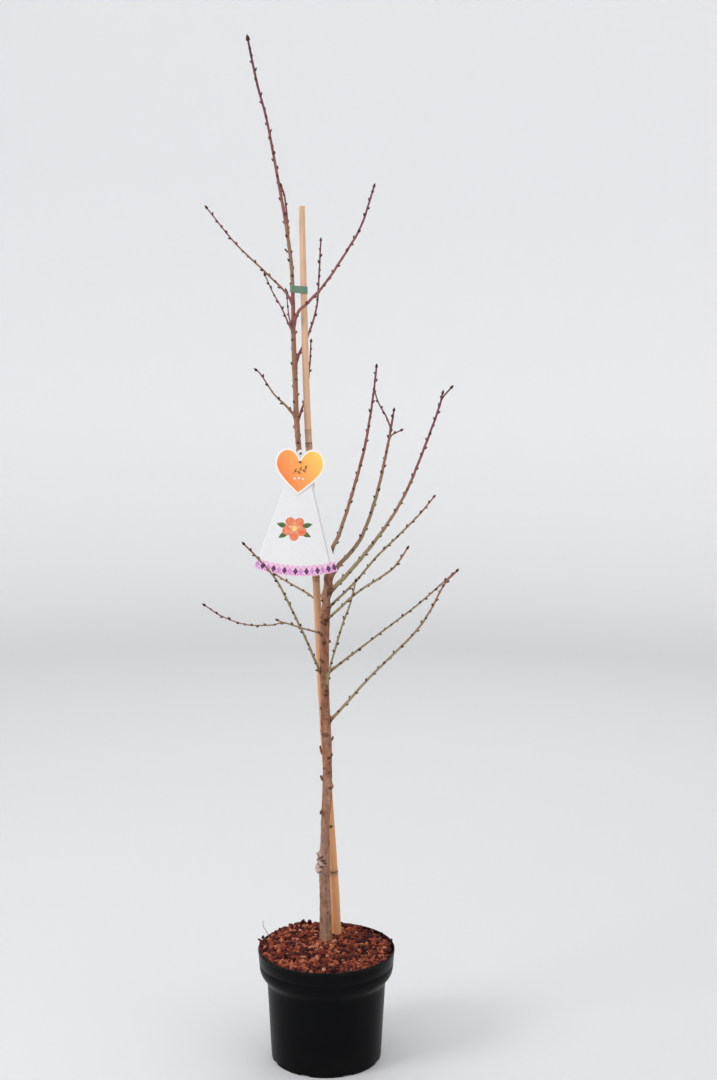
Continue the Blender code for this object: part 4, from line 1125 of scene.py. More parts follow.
# The bed's rise for each metre to the right and to the rear, its two heaps as height, x, y
# and spread, and the depth of its ripple.
MULCH_SLOPE = (-0.020, 0.012)
MULCH_HEAPS = [(0.0050, 0.006, 0.024, 0.062), (0.0050, -0.048, 0.082, 0.045)]
MULCH_RIPPLE = 0.0016
CHIP_SHAPES = 9
CHIP_SIDES = 7
# How far the chips keep from the wall, and their greatest reach under the rolled rim.
CHIP_CLEAR = 0.0003
CHIP_REACH = 0.1222
# Each size of chip: name, spacing, least and greatest length, lift, tilt and seed.
CHIP_SIZES = [("mulch_fines", 3.4 * MM, 4.0 * MM, 7.5 * MM, 1.4 * MM, 0.80, 3),
              ("mulch_chips", 6.0 * MM, 7.0 * MM, 12.0 * MM, 4.2 * MM, 0.70, 8),
              ("mulch_lumps", 11.5 * MM, 12.0 * MM, 20.0 * MM, 5.5 * MM, 0.50, 14)]
CHIP_COLOURS = [(0.00, (0.020, 0.006, 0.008)), (0.27, (0.060, 0.014, 0.014)),
                (0.52, (0.200, 0.042, 0.024)), (0.77, (0.370, 0.092, 0.044)),
                (0.93, (0.530, 0.195, 0.105)), (1.00, (0.720, 0.480, 0.370))]
CHIP_PLAIN = (0.165, 0.046, 0.026)
CHIP_HOLLOW = (0.035, 0.012, 0.010)
BED_PLAIN = (0.05, 0.017, 0.012)
BED_MOTTLES = ((0.024, 0.009, 0.007), (0.110, 0.034, 0.020))


def mulch_height(x, y):
    """The top of the mulch bed: banked up behind on the left, settled on the right."""
    level = MULCH_LEVEL + (MULCH_SLOPE[0] * x + MULCH_SLOPE[1] * y)
    for rise, middle_x, middle_y, width in MULCH_HEAPS:
        away = (x - middle_x) ** 2 + (y - middle_y) ** 2
        level += rise * math.exp(-away / width ** 2)
    return level + MULCH_RIPPLE * noise.noise(Vector((x * 60, y * 60, 7.0)))


def bed_mesh():
    """The bed's closed shape, sunk a little so that the chips make its top."""
    vertices = [(0, 0, MULCH_BOTTOM)]
    foot = pot_inside_radius(MULCH_BOTTOM) - 0.6 * MM
    for k in range(BED_SIDES):
        angle = 2 * math.pi * k / BED_SIDES
        vertices.append((foot * math.cos(angle), foot * math.sin(angle), MULCH_BOTTOM))
    for ring in range(BED_RINGS, 0, -1):
        for k in range(BED_SIDES):
            angle = 2 * math.pi * k / BED_SIDES
            x = MULCH_EDGE * ring / BED_RINGS * math.cos(angle)
            y = MULCH_EDGE * ring / BED_RINGS * math.sin(angle)
            crumb = 0.0018 * noise.noise(Vector((x * 190, y * 190, 4.0)))
            vertices.append((x, y, mulch_height(x, y) - BED_DROP + crumb))
    vertices.append((0, 0, mulch_height(0, 0) - BED_DROP))
    return vertices, closed_faces(BED_RINGS + 1, BED_SIDES)


def chip_outline(draw):
    """A ragged chip outline: seven corners round a stretched, slightly twisted oval."""
    corners = []
    slim = draw.uniform(0.40, 0.74)
    for k in range(CHIP_SIDES):
        angle = 2 * math.pi * (k + draw.uniform(-0.28, 0.28)) / CHIP_SIDES
        reach = draw.uniform(0.78, 1.08)
        corners.append((0.5 * reach * math.cos(angle), 0.5 * slim * reach * math.sin(angle)))
    return corners


def chip_shape(number, draw):
    """One chip of length 1, split from bark: flat below, ridged and uneven on top."""
    corners = chip_outline(draw)
    thick = draw.uniform(0.22, 0.42)
    slope = draw.uniform(-0.14, 0.14)
    vertices = [(0, 0, -0.5 * thick)]
    for x, y in corners:
        vertices.append((x * 0.94, y * 0.94, -0.5 * thick + draw.uniform(-0.02, 0.03)))
    for x, y in corners:
        level = thick * draw.uniform(0.25, 0.60) + slope * x
        vertices.append((x * draw.uniform(0.80, 1.0), y * draw.uniform(0.74, 1.0), level))
    vertices.append((draw.uniform(-0.1, 0.1), draw.uniform(-0.04, 0.04), 0.72 * thick))
    return make_piece(f"chip_shape_{number}", vertices, closed_faces(2, CHIP_SIDES))


def chip_growth():
    """Strews chips from a set of shapes over a bed, each turned, tipped, sized and toned."""
    tree, ins = new_growth("strew_chips", {"Chips": "Collection", "Spacing": "Float",
                                           "Least": "Float", "Greatest": "Float",
                                           "Lift": "Float", "Tilt": "Float", "Seed": "Int",
                                           "Finish": "Material"})
    spots = add_node(tree, "GeometryNodeDistributePointsOnFaces",
                     {"Mesh": ins["Geometry"], "Distance Min": ins["Spacing"],
                      "Density Max": 400000.0, "Seed": ins["Seed"]},
                     distribute_method="POISSON")
    rise = random_number(tree, 0.0, ins["Lift"], ins["Seed"])
    offset = add_node(tree, "ShaderNodeCombineXYZ", {"Z": rise}).outputs[0]
    raised = add_node(tree, "GeometryNodeSetPosition",
                      {"Geometry": spots.outputs["Points"], "Offset": offset})
    lean = sums(tree, "MULTIPLY", ins["Tilt"], -1.0)
    least = add_node(tree, "ShaderNodeCombineXYZ", {"X": lean, "Y": lean}).outputs[0]
    most = add_node(tree, "ShaderNodeCombineXYZ",
                    {"X": ins["Tilt"], "Y": ins["Tilt"], "Z": 2 * math.pi}).outputs[0]
    turn = add_node(tree, "FunctionNodeRandomValue",
                    {0: least, 1: most, "Seed": sums(tree, "ADD", ins["Seed"], 1.0)},
                    data_type="FLOAT_VECTOR").outputs[0]
    size = random_number(tree, ins["Least"], ins["Greatest"],
                         sums(tree, "ADD", ins["Seed"], 2.0))
    shapes = add_node(tree, "GeometryNodeCollectionInfo", {"Collection": ins["Chips"],
                                                           "Separate Children": True,
                                                           "Reset Children": True})
    laid = add_node(tree, "GeometryNodeInstanceOnPoints",
                    {"Points": raised.outputs[0], "Instance": shapes.outputs[0],
                     "Pick Instance": True, "Rotation": turn, "Scale": size})
    end_growth(tree, laid.outputs[0], sums(tree, "ADD", ins["Seed"], 3.0), ins)
    return tree


def chip_finish():
    finish, tree, shader = new_finish("bark_chips", CHIP_PLAIN, 0.85, 0.12)
    patches, grain = worn_grain(tree, object_place(tree), 260.0, 1300.0)
    shade = sums(tree, "ADD", sums(tree, "MULTIPLY", own_value(tree, "tone"), 0.80),
                 spread(tree, patches, 0.0, 1.0, -0.02, 0.24))
    colour = ramp(tree, shade, CHIP_COLOURS)
    colour = mix_colour(tree, spread(tree, grain, 0.0, 0.45, 0.55, 0.0), colour, CHIP_HOLLOW)
    paint(tree, shader, colour, spread(tree, grain, 0.0, 1.0, 0.92, 0.70))
    bumped(tree, shader, grain, 0.7, 0.0008)
    return finish


def press_inside(piece):
    """Press the chips that would stand through the pot's wall flat against it."""
    mesh = piece.data
    points = np.zeros(len(mesh.vertices) * 3, np.float32)
    mesh.vertices.foreach_get("co", points)
    points = points.reshape(-1, 3)
    reach = np.hypot(points[:, 0], points[:, 1])
    levels = [height * MM for radius, height in POT_OUTSIDE]
    walls = [radius * MM - POT_WALL - CHIP_CLEAR for radius, height in POT_OUTSIDE]
    wall = np.minimum(np.interp(points[:, 2], levels, walls), CHIP_REACH)
    points[:, :2] *= np.minimum(1.0, wall / np.maximum(reach, 1e-6))[:, None]
    mesh.vertices.foreach_set("co", points.ravel())
    mesh.update()


crumbs = mottled_finish("bark_crumbs", BED_PLAIN, BED_MOTTLES, (0.95, 0.05), (300.0, 1200.0),
                        (1.0, 0.0016), lumpy=True)
bed_vertices, bed_faces = bed_mesh()
mulch_bed = make_piece("mulch_bed", bed_vertices, bed_faces, crumbs)
hand_over(mulch_bed, "bark_mulch")

chips_cut = random.Random(71)
chip_shapes = bpy.data.collections.new("chip_shapes")
for number in range(CHIP_SHAPES):
    shape = chip_shape(number, chips_cut)
    bpy.context.scene.collection.objects.unlink(shape)
    chip_shapes.objects.link(shape)
bark_chips = chip_finish()
strew_chips = chip_growth()
# The faces on the bed's foot ring or centre are its underside and wall, and take no chips.
bed_top_faces = [face for face in bed_faces if min(face) > BED_SIDES]
for chip_name, spacing, least, greatest, lift, tilt, seed in CHIP_SIZES:
    top_mesh = bpy.data.meshes.new(chip_name)
    inner = (MULCH_EDGE - 0.35 * greatest) / MULCH_EDGE
    shrunk = [(x * inner, y * inner, z + STREW_LIFT) for x, y, z in bed_vertices]
    top_mesh.from_pydata(shrunk, [], bed_top_faces)
    chips = grow(chip_name, top_mesh, strew_chips,
                 {"Chips": chip_shapes, "Spacing": spacing, "Least": least,
                  "Greatest": greatest, "Lift": lift, "Tilt": tilt, "Seed": seed,
                  "Finish": bark_chips})
    press_inside(chips)
    hand_over(chips, "bark_mulch")
for shape in list(chip_shapes.objects):
    bpy.data.objects.remove(shape, do_unlink=True)
bpy.data.collections.remove(chip_shapes)


# Strays: a few dark chips that lie on and over the rim, and one dry twig that stands up
# out of the mulch. They fell there as the pot was filled.
# Each chip is (x, y, z) of its middle, its length, width and thickness in mm, its turn,
# tilt and roll in degrees, and its tone.
STRAY_CHIPS = [(-124, 28, 206.5, 10, 4, 3, 160, 22, 0, 0.10),
               (-119, 38, 208.0, 11, 5, 3.4, 70, 10, 20, 0.16),
               (-121, 14, 206.6, 13, 7, 4, 95, 6, 12, 0.30),
               (-120, -2, 206.0, 12, 7, 4, 60, -4, 14, 0.14),
               (-121, -16, 206.2, 11, 6, 4, 120, 5, 10, 0.42),
               (-117, -30, 205.8, 13, 7, 4, 100, -3, 12, 0.22),
               (-112, -43, 205.6, 11, 7, 4, 140, 4, 10, 0.50),
               (-104, -57, 205.4, 12, 6, 4, 130, -5, 10, 0.28),
               (-48, 100, 214.0, 13, 7, 5, 40, 34, 10, 0.12),
               (-34, 104, 214.5, 12, 7, 5, 110, -20, 25, 0.24),
               (-56, 94, 212.0, 12, 6, 5, 10, 12, -30, 0.45),
               (-24, 98, 211.5, 11, 6, 5, 75, 25, 10, 0.18),
               (101, 59, 206.0, 10, 4, 4, 40, 58, 0, 0.05),
               (108, 50, 205.5, 11, 5, 4, 130, 20, 30, 0.08),
               (114, 40, 204.5, 10, 6, 4, 100, 12, -20, 0.14),
               (119, 30, 205.5, 10, 5, 4, 70, 18, 25, 0.07),
               (117, 20, 203.5, 12, 6, 4, 110, -12, 15, 0.35)]
STRAY_TWIG = [(-107.5, 45, 202, 1.3), (-109.3, 45, 209, 1.2), (-113.6, 45, 218, 1.1),
              (-118.4, 45, 226.8, 0.9), (-118.7, 45, 237.2, 0.7)]
STRAY_SIDES = 9
TWIG_DRY = (0.18, 0.12, 0.08)
TWIG_GREY = (0.07, 0.045, 0.032)


def laid_chip(draw, chip):
    """A chip's points where it lies, in three rings, and its tone for each of them."""
    x, y, z, length, width, thick, turn, tilt, roll, tone = chip
    corners = []
    for k in range(STRAY_SIDES):
        angle = 2 * math.pi * (k + draw.uniform(-0.25, 0.25)) / STRAY_SIDES
        corners.append((0.5 * length * draw.uniform(0.8, 1.1) * math.cos(angle),
                        0.5 * width * draw.uniform(0.8, 1.1) * math.sin(angle)))
    local = [(0, 0, -0.5 * thick)]
    local += [(a * 0.9, b * 0.9, -0.5 * thick * draw.uniform(0.7, 1.1)) for a, b in corners]
    local += [(a, b, 0.0) for a, b in corners]
    local += [(a * 0.82, b * 0.8, 0.5 * thick * draw.uniform(0.6, 1.1)) for a, b in corners]
    local.append((0, 0, 0.6 * thick))
    spin = Matrix.Rotation(math.radians(turn), 3, "Z")
    spin = spin @ Matrix.Rotation(math.radians(-tilt), 3, "Y")
    spin = spin @ Matrix.Rotation(math.radians(roll), 3, "X")
    placed = [Vector((x, y, z)) * MM + spin @ (Vector(point) * MM) for point in local]
    return placed, [tone] * len(local)


stray_vertices = []
stray_faces = []
stray_tones = []
for chip in STRAY_CHIPS:
    placed, tones = laid_chip(chips_cut, chip)
    stray_faces += [tuple(len(stray_vertices) + i for i in face)
                    for face in closed_faces(3, STRAY_SIDES)]
    stray_vertices += placed
    stray_tones += tones
stray_chips = make_piece("stray_chips", stray_vertices, stray_faces, bark_chips)
give_value(stray_chips.data, "tone", stray_tones)
hand_over(stray_chips, "bark_mulch")

twig = make_stem(smooth_route(np.array(STRAY_TWIG, float) * MM, 0.0012), 8)
roughen(twig, 1500, 700, 0.25, 2.0)
dry_bark = mottled_finish("dry_twig", TWIG_DRY, (TWIG_DRY, TWIG_GREY), (0.8, 0.2),
                          (400.0, 2000.0), (0.5, 0.0003))
stray_twig = skinned("stray_twig", [twig], dry_bark)
hand_over(stray_twig, "bark_mulch")


# Cane: a split-free bamboo stake, cut square at the top, pushed down through the soil
# behind the trunk. Its joints are low double rings, and each section pales upwards.
CANE_SIDES = 32
CANE_DIAMETERS = (16.6 * MM, 10.6 * MM)
CANE_BOTTOM = 12 * MM
CANE_TOP = 1540 * MM
CANE_JOINTS = (331 * MM, 600 * MM, 883 * MM, 1125 * MM, 1148 * MM)
CANE_JOINT_DARKNESS = (0.55, 1.0, 1.0, 1.15, 0.45)
CANE_LINE = [(18, 52, 205), (12, 50, 337), (-3, 46, 562), (-12, 44, 712), (-20, 41, 885),
             (-34, 37, 1148), (-39, 34, 1299), (-44, 32, 1516), (-44.5, 32, 1540)]
CANE_BORE = 0.52
# The cut top is square and hollow, so the wall turns in and runs down the bore. Each ring
# is its share of the cane's width there and its height above the cut.
CANE_CUT = ((0.97, 0.0), (CANE_BORE + 0.06, 0.0), (CANE_BORE, -0.0008),
            (CANE_BORE - 0.02, -0.010), (CANE_BORE - 0.06, -0.022))
# A knot scar: its height, turn in degrees, width, how far it stands out, and its dimple.
CANE_SCAR = (419 * MM, 5, 7.5 * MM, 1.0 * MM, 0.7)
# The rings set close together round a joint, and round the scar, in mm from its middle.
JOINT_RINGS = (-11, -8, -5.5, -4, -3, -2.2, -1.5, -0.9, -0.3, 0.3, 0.9, 1.5, 2.2, 3, 4, 6, 9)
SCAR_RINGS = (-6, -4.5, -3, -2, -1, 0, 1, 2, 3, 4.5, 6)
# The dark ring of a joint and the stain below it, each as how dark it is, and its middle and
# its spread in metres, and the lowest joint's own stain, as dark and spread.
JOINT_STAINS = ((0.80, 0.0002, 0.0010), (0.42, -0.0048, 0.0038))
LOWEST_STAIN = (0.40, 0.0048)
# A joint's two rings, the groove between them and the swelling below, each as its share of
# the radius, its middle and its spread in mm.
JOINT_SHAPE = ((0.055, 2.0, 1.9), (0.075, -1.1, 0.75), (-0.055, 0.2, 0.45), (0.020, -5.0, 4.0))
# Painted light: the lowest stop is lighter, against the shade of trunk and pot on the foot.
CANE_COLOURS = [(0.00, (0.760, 0.350, 0.145)), (0.25, (0.640, 0.315, 0.145)),
                (0.50, (0.610, 0.325, 0.170)), (0.75, (0.760, 0.460, 0.285)),
                (1.00, (0.760, 0.480, 0.310))]
BAMBOO_PLAIN = (0.58, 0.34, 0.19)
BAMBOO_FIBRE = (0.36, 0.17, 0.07)
BAMBOO_BLOTCH = (0.60, 0.33, 0.20)
BAMBOO_PALE = (0.74, 0.52, 0.34)
BAMBOO_RUST = (0.60, 0.310, 0.220)
# This colour darkens the joints and the knot scar, and is also painted shade down the bore.
BAMBOO_STAIN_AND_SHADE = (0.075, 0.032, 0.017)


def cane_route():
    """The cane's line, drawn straight on down into the soil from its lowest knots."""
    knots = np.array(CANE_LINE, float) * MM
    drop = (CANE_BOTTOM - knots[0, 2]) / (knots[1, 2] - knots[0, 2])
    knots = np.vstack([knots[0] + drop * (knots[1] - knots[0]), knots])
    return smooth_route(knots, 0.004)


def cane_radius_at(level):
    share = (level - CANE_BOTTOM) / (CANE_TOP - CANE_BOTTOM)
    foot = 1 + 0.10 * min(1.0, max(0.0, (CANE_JOINTS[0] - level) / 0.05))
    return foot * (CANE_DIAMETERS[0] + share * (CANE_DIAMETERS[1] - CANE_DIAMETERS[0])) / 2


def cane_levels():
    """Heights of the rings: close together round each joint, and wide apart between."""
    levels = set(np.arange(CANE_BOTTOM, CANE_TOP, 0.009)) | {CANE_TOP}
    for joint in CANE_JOINTS:
        levels = {z for z in levels if abs(z - joint) > 0.0115}
        levels |= {joint + step * MM for step in JOINT_RINGS}
    levels = {z for z in levels if abs(z - CANE_SCAR[0]) > 0.0065}
    return sorted(levels | {CANE_SCAR[0] + step * MM for step in SCAR_RINGS})


def joint_profile(level):
    """How far the joints change the radius at a height."""
    change = 0.0
    for joint in CANE_JOINTS:
        gap = (level - joint) / MM
        for share, middle, width in JOINT_SHAPE:
            change += share * math.exp(-((gap - middle) / width) ** 2)
    return change


def bamboo_finish():
    finish, tree, shader = new_finish("bamboo", BAMBOO_PLAIN, 0.42, 0.35)
    place = object_place(tree)
    drawn = stretched(tree, place, (1.0, 1.0, 0.030))
    patches, fibre = worn_grain(tree, drawn, 60.0, 620.0)
    blotches, grain = worn_grain(tree, place, 34.0, 900.0)
    colour = ramp(tree, spread(tree, height_of(tree, place), 0.2, 1.54), CANE_COLOURS)
    for share, tint in ((spread(tree, fibre, 0.0, 0.5, 0.35, 0.0), BAMBOO_FIBRE),
                        (spread(tree, blotches, 0.55, 1.0, 0.0, 0.40), BAMBOO_BLOTCH),
                        (sums(tree, "MULTIPLY", patches, 0.16), BAMBOO_PALE),
                        (own_value(tree, "callus"), BAMBOO_RUST),
                        (own_value(tree, "scar_and_shade"), BAMBOO_STAIN_AND_SHADE)):
        colour = mix_colour(tree, share, colour, tint)
    paint(tree, shader, colour, spread(tree, blotches, 0.0, 1.0, 0.36, 0.56))
    bumped(tree, shader, sums(tree, "ADD", fibre, grain), 0.25, 0.0003)
    return finish


cane_line = cane_route()
cane_rows = []
for level in cane_levels():
    centre = [float(np.interp(level, cane_line[:, 2], cane_line[:, i])) for i in range(3)]
    cane_rows.append((*centre, 2 * cane_radius_at(level) * (1 + joint_profile(level))))
rim = cane_rows[-1]
for share, rise in CANE_CUT:
    cane_rows.append((rim[0], rim[1], rim[2] + rise, rim[3] * share))
cane_rows = np.array(cane_rows)
cane_stem = make_stem(cane_rows, CANE_SIDES)
# The rings of the cut and the bore face the way that the cane's last ring does.
body_frames = frames_along(cane_rows[:-len(CANE_CUT), :3])
for key, carried in zip(("tangents", "side", "across"), body_frames):
    cane_stem[key] = np.vstack([carried, np.repeat(carried[-1:], len(CANE_CUT), axis=0)])
cane_stem["tangents"][-1] *= -0.1
cane_stem["out"] = ways_round(cane_stem["side"], cane_stem["across"], cane_stem["angles"])
heights = cane_stem["line"][:, 2]
for joint, dark in zip(CANE_JOINTS, CANE_JOINT_DARKNESS):
    for depth, middle, width in JOINT_STAINS:
        stain = depth * np.exp(-((heights - joint - middle) / width) ** 2)
        cane_stem["scar_and_shade"] += (dark * stain)[:, None]
# The two top joints are close together, and the short piece between them is rusty.
between = (heights > CANE_JOINTS[3] - 0.002) & (heights < CANE_JOINTS[4] + 0.002)
cane_stem["callus"][between] = 0.45
scar_mark = add_scar(cane_stem, *CANE_SCAR)
lowest_stain = LOWEST_STAIN[0] * np.exp(-((heights - CANE_JOINTS[0]) / LOWEST_STAIN[1]) ** 2)
cane_stem["scar_and_shade"] += scar_mark + lowest_stain[:, None]
cane_stem["scar_and_shade"] = np.clip(cane_stem["scar_and_shade"], 0, 1)
# Painted shade: the two rings down inside the hollow bore are darkened.
cane_stem["scar_and_shade"][-2:] = 0.8
cane = skinned("bamboo_cane", [cane_stem], bamboo_finish())
shade_creased(cane, 50)
hand_over(cane, "cane")


# Tie band: soft green tying tape, passed once round the shoot and the cane, pulled tight
# and pressed to itself behind, where a short end is left.
TIE_HEIGHT = 12 * MM
TIE_WALL = 0.8 * MM
TIE_LEVEL = 1397 * MM
TIE_SLOPE = -0.09
TIE_CLEAR = 0.6 * MM
# The free end: how many points of the band it runs along, and how far its tip stands off.
TIE_END_POINTS = 9
TIE_END_LIFT = 0.0013
TIE_GREEN = (0.125, 0.235, 0.150)
TIE_PALE = (0.215, 0.340, 0.245)
# The tape's cross-section as (out, up): out in walls from its inner face, up in heights.
TIE_SECTION = [(0.0, -0.47), (0.3, -0.5), (0.8, -0.5), (1.1, -0.46), (1.0, -0.25), (0.92, 0.0),
               (1.0, 0.25), (1.1, 0.46), (0.8, 0.5), (0.3, 0.5), (0.0, 0.47), (0.0, 0.0)]


def on_circle(centre, radius, angle):
    return Vector(centre) + Vector((math.cos(angle), math.sin(angle))) * radius


def belt_line(first, first_radius, second, second_radius, arc_points):
    """The line of a belt pulled tight round two circles, anticlockwise from above."""
    gap = Vector(second) - Vector(first)
    heading = math.atan2(gap.y, gap.x)
    open_angle = math.acos((first_radius - second_radius) / gap.length)
    line = []
    for k in range(arc_points):
        angle = heading + open_angle + (2 * math.pi - 2 * open_angle) * k / (arc_points - 1)
        line.append(on_circle(first, first_radius, angle))
    leaves = line[-1]
    meets = on_circle(second, second_radius, heading - open_angle)
    line += [leaves.lerp(meets, k / 8) for k in range(1, 8)]
    for k in range(arc_points):
        angle = heading - open_angle + 2 * open_angle * k / (arc_points - 1)
        line.append(on_circle(second, second_radius, angle))
    leaves = line[-1]
    return line + [leaves.lerp(line[0], k / 8) for k in range(1, 8)]


def tape(name, line, lifts, closed, finish):
    """A tape stood on edge along a line, lifted off it by the given amounts."""
    vertices = []
    count = len(line)
    for k, (point, lift) in enumerate(zip(line, lifts)):
        ahead = line[(k + 1) % count] if closed or k < count - 1 else line[k]
        behind = line[k - 1] if closed or k > 0 else line[k]
        heading = (ahead - behind).normalized()
        away = Vector((heading.y, -heading.x))
        for out, up in TIE_SECTION:
            spot = point + away * (lift + out * TIE_WALL)
            level = TIE_LEVEL + up * TIE_HEIGHT + TIE_SLOPE * (spot.x - line[0].x)
            ripple = 0.0002 * noise.noise(Vector((spot.x * 300, spot.y * 300, up * 3)))
            vertices.append((spot.x, spot.y, level + ripple))
    section = len(TIE_SECTION)
    faces = []
    for k in range(count if closed else count - 1):
        a = k * section
        b = ((k + 1) % count) * section
        for i in range(section):
            j = (i + 1) % section
            faces.append((a + i, b + i, b + j, a + j))
    if not closed:
        faces.append(tuple(range(section)))
        faces.append(tuple((count - 1) * section + i for i in reversed(range(section))))
    return make_piece(name, vertices, faces, finish)


def tie_finish():
    """Soft plastic, mottled paler, with fine level ribs."""
    finish, tree, shader = new_finish("tie_plastic", TIE_GREEN, 0.55, 0.3)
    place = object_place(tree)
    patches, grain = worn_grain(tree, place, 180.0, 1400.0)
    paint(tree, shader, mix_colour(tree, sums(tree, "MULTIPLY", patches, 0.6), TIE_GREEN, TIE_PALE))
    ribs = add_node(tree, "ShaderNodeTexWave", {"Vector": place, "Scale": 320.0},
                    bands_direction="Z").outputs["Fac"]
    bumped(tree, shader, sums(tree, "ADD", grain, ribs), 0.25, 0.0003)
    return finish


def point_at(rows, level, columns):
    """Some of a route's values at a height."""
    return [float(np.interp(level, rows[:, 2], rows[:, i])) for i in columns]


trunk_rows = np.column_stack([trunk["line"], trunk["radius"] * 2])
shoot_at = point_at(trunk_rows, TIE_LEVEL, (0, 1))
shoot_radius = point_at(trunk_rows, TIE_LEVEL, (3,))[0] / 2
cane_at = point_at(cane_line, TIE_LEVEL, (0, 1))
tie_line = belt_line(shoot_at, shoot_radius + TIE_CLEAR, cane_at,
                     cane_radius_at(TIE_LEVEL) + TIE_CLEAR, 22)
tie_green = tie_finish()
tie_band = tape("tie_band_tape", tie_line, [0.0] * len(tie_line), True, tie_green)
shade_creased(tie_band, 50)
hand_over(tie_band, "tie_band")
backmost = max(range(len(tie_line)), key=lambda i: tie_line[i].y)
end_line = [tie_line[(backmost - 5 + k) % len(tie_line)] for k in range(TIE_END_POINTS)]
end_lifts = [TIE_WALL * 1.02 + TIE_END_LIFT * (k / (TIE_END_POINTS - 1)) ** 2
             for k in range(TIE_END_POINTS)]
tie_end = tape("tie_band_end", end_line, end_lifts, False, tie_green)
shade_creased(tie_end, 50)
hand_over(tie_end, "tie_band")


# Label: a heart card over two fan-shaped cards, die-cut from printed white plastic sheet
# and punched through together. Distances run down the card from where its sides would meet.
CARD_WALL = 0.6 * MM
CARD_PITCH = 1.6 * MM
CARD_BOW = 0.9 * MM
CARD_APEX = (-0.0445, 0.0090, 1.1332)
CARD_LEAN = math.radians(5.4)
CARD_TURN = math.radians(-3.75)
REAR_CARD_TURN = math.radians(2.9)
FAN_RADIUS = 242 * MM
FAN_HALF_ANGLE = math.radians(16.6)
FAN_EYE = 25.0 * MM
FAN_EYE_RADIUS = 6.8 * MM
FAN_BAND = 17.5 * MM
HEART_EYE = 40.2 * MM
HEART_BORDER = 3.3 * MM
EYELET_RADIUS = 1.5 * MM
CARD_WHITE = (0.83, 0.83, 0.84)
HEART_CREAM = (0.95, 0.89, 0.82)
HEART_PLAIN = (0.98, 0.45, 0.12)
HEART_MOTTLE = (0.99, 0.62, 0.25)
HEART_COLOURS = [(0.0, (0.96, 0.225, 0.050)), (0.30, (0.98, 0.330, 0.095)),
                 (0.60, (0.98, 0.470, 0.110)), (1.0, (0.99, 0.700, 0.110))]
# The spacing of the points that a card is divided by, so that it can bow.
CARD_GRID = 7 * MM
# Each ink is its plain colour and the colour that it is mottled with.
INKS = {"ink_coral": ((0.80, 0.115, 0.055), (0.88, 0.34, 0.16)),
        "ink_petal": ((0.90, 0.52, 0.30), (0.84, 0.25, 0.14)),
        "ink_yellow": ((0.92, 0.62, 0.17), (0.95, 0.78, 0.36)),
        "ink_leaf": ((0.045, 0.110, 0.030), (0.110, 0.200, 0.050)),
        "ink_pink": ((0.84, 0.42, 0.66), (0.88, 0.64, 0.78)),
        "ink_lilac": ((0.52, 0.20, 0.52), (0.74, 0.38, 0.68)),
        "ink_purple": ((0.070, 0.016, 0.085), (0.24, 0.060, 0.22)),
        "ink_brown": ((0.30, 0.105, 0.020), (0.38, 0.15, 0.03))}


def card_point(across, down, forward, turn):
    """A point on a card: across it, down it and forward of its middle plane.

    A turn swings the card about its upper eyelet, and its sides bow back a little.
    """
    below_eye = down - FAN_EYE
    turned_across = across * math.cos(turn) + below_eye * math.sin(turn)
    turned_down = FAN_EYE + below_eye * math.cos(turn) - across * math.sin(turn)
    x = turned_across * math.cos(CARD_TURN) + turned_down * math.sin(CARD_TURN)
    drop = turned_down * math.cos(CARD_TURN) - turned_across * math.sin(CARD_TURN)
    ahead = forward - CARD_BOW * (turned_across / 0.06) ** 2
    y = -drop * math.sin(CARD_LEAN) - ahead * math.cos(CARD_LEAN)
    z = -drop * math.cos(CARD_LEAN) + ahead * math.sin(CARD_LEAN)
    return Vector(CARD_APEX) + Vector((x, y, z))


def leaf_of(base, length, width, turn, count=9):
    """A pointed leaf's outline from its stalk to its tip."""
    edge = [(length * k / count, width / 2 * math.sin(math.pi * (k / count) ** 0.8))
            for k in range(count + 1)]
    edge += [(a, -b) for a, b in reversed(edge[1:-1])]
    return [(base[0] + a * math.cos(turn) - b * math.sin(turn),
             base[1] + a * math.sin(turn) + b * math.cos(turn)) for a, b in edge]


def fan_outline():
    """A sector of a disc, from its apex, cut off by a round tab about the eyelet."""
    outline = []
    for k in range(49):
        angle = FAN_HALF_ANGLE * (1 - k / 24)
        outline.append((FAN_RADIUS * math.sin(angle), FAN_RADIUS * math.cos(angle)))
    for k in range(19):
        angle = math.pi + math.pi * k / 18
        outline.append((FAN_EYE_RADIUS * math.cos(angle),
                        FAN_EYE + FAN_EYE_RADIUS * math.sin(angle)))
    return outline


def bezier(knots, count):
    """Points on a curve from the first of its four knots, up to but not at the last."""
    points = []
    for k in range(count):
        t = k / count
        weights = ((1 - t) ** 3, 3 * t * (1 - t) ** 2, 3 * t * t * (1 - t), t ** 3)
        points.append(tuple(sum(weight * knot[axis] for weight, knot in zip(weights, knots))
                            for axis in (0, 1)))
    return points


def heart_outline():
    """A heart 88 mm wide, its notch just above the eyelet, measured down from the apex."""
    notch, lobe, side, tip = (0, -5.3), (-22, -23.3), (-44, 3.5), (0, 57.8)
    left = bezier((notch, (-4, -15), (-12, -23.3), lobe), 14)
    left += bezier((lobe, (-35, -23.3), (-44, -11), side), 18)
    left += bezier((side, (-44, 22), (-20, 41), tip), 20)
    outline = left + [tip] + [(-x, y) for x, y in reversed(left[1:])]
    return [(x * MM, HEART_EYE + y * MM) for x, y in outline]


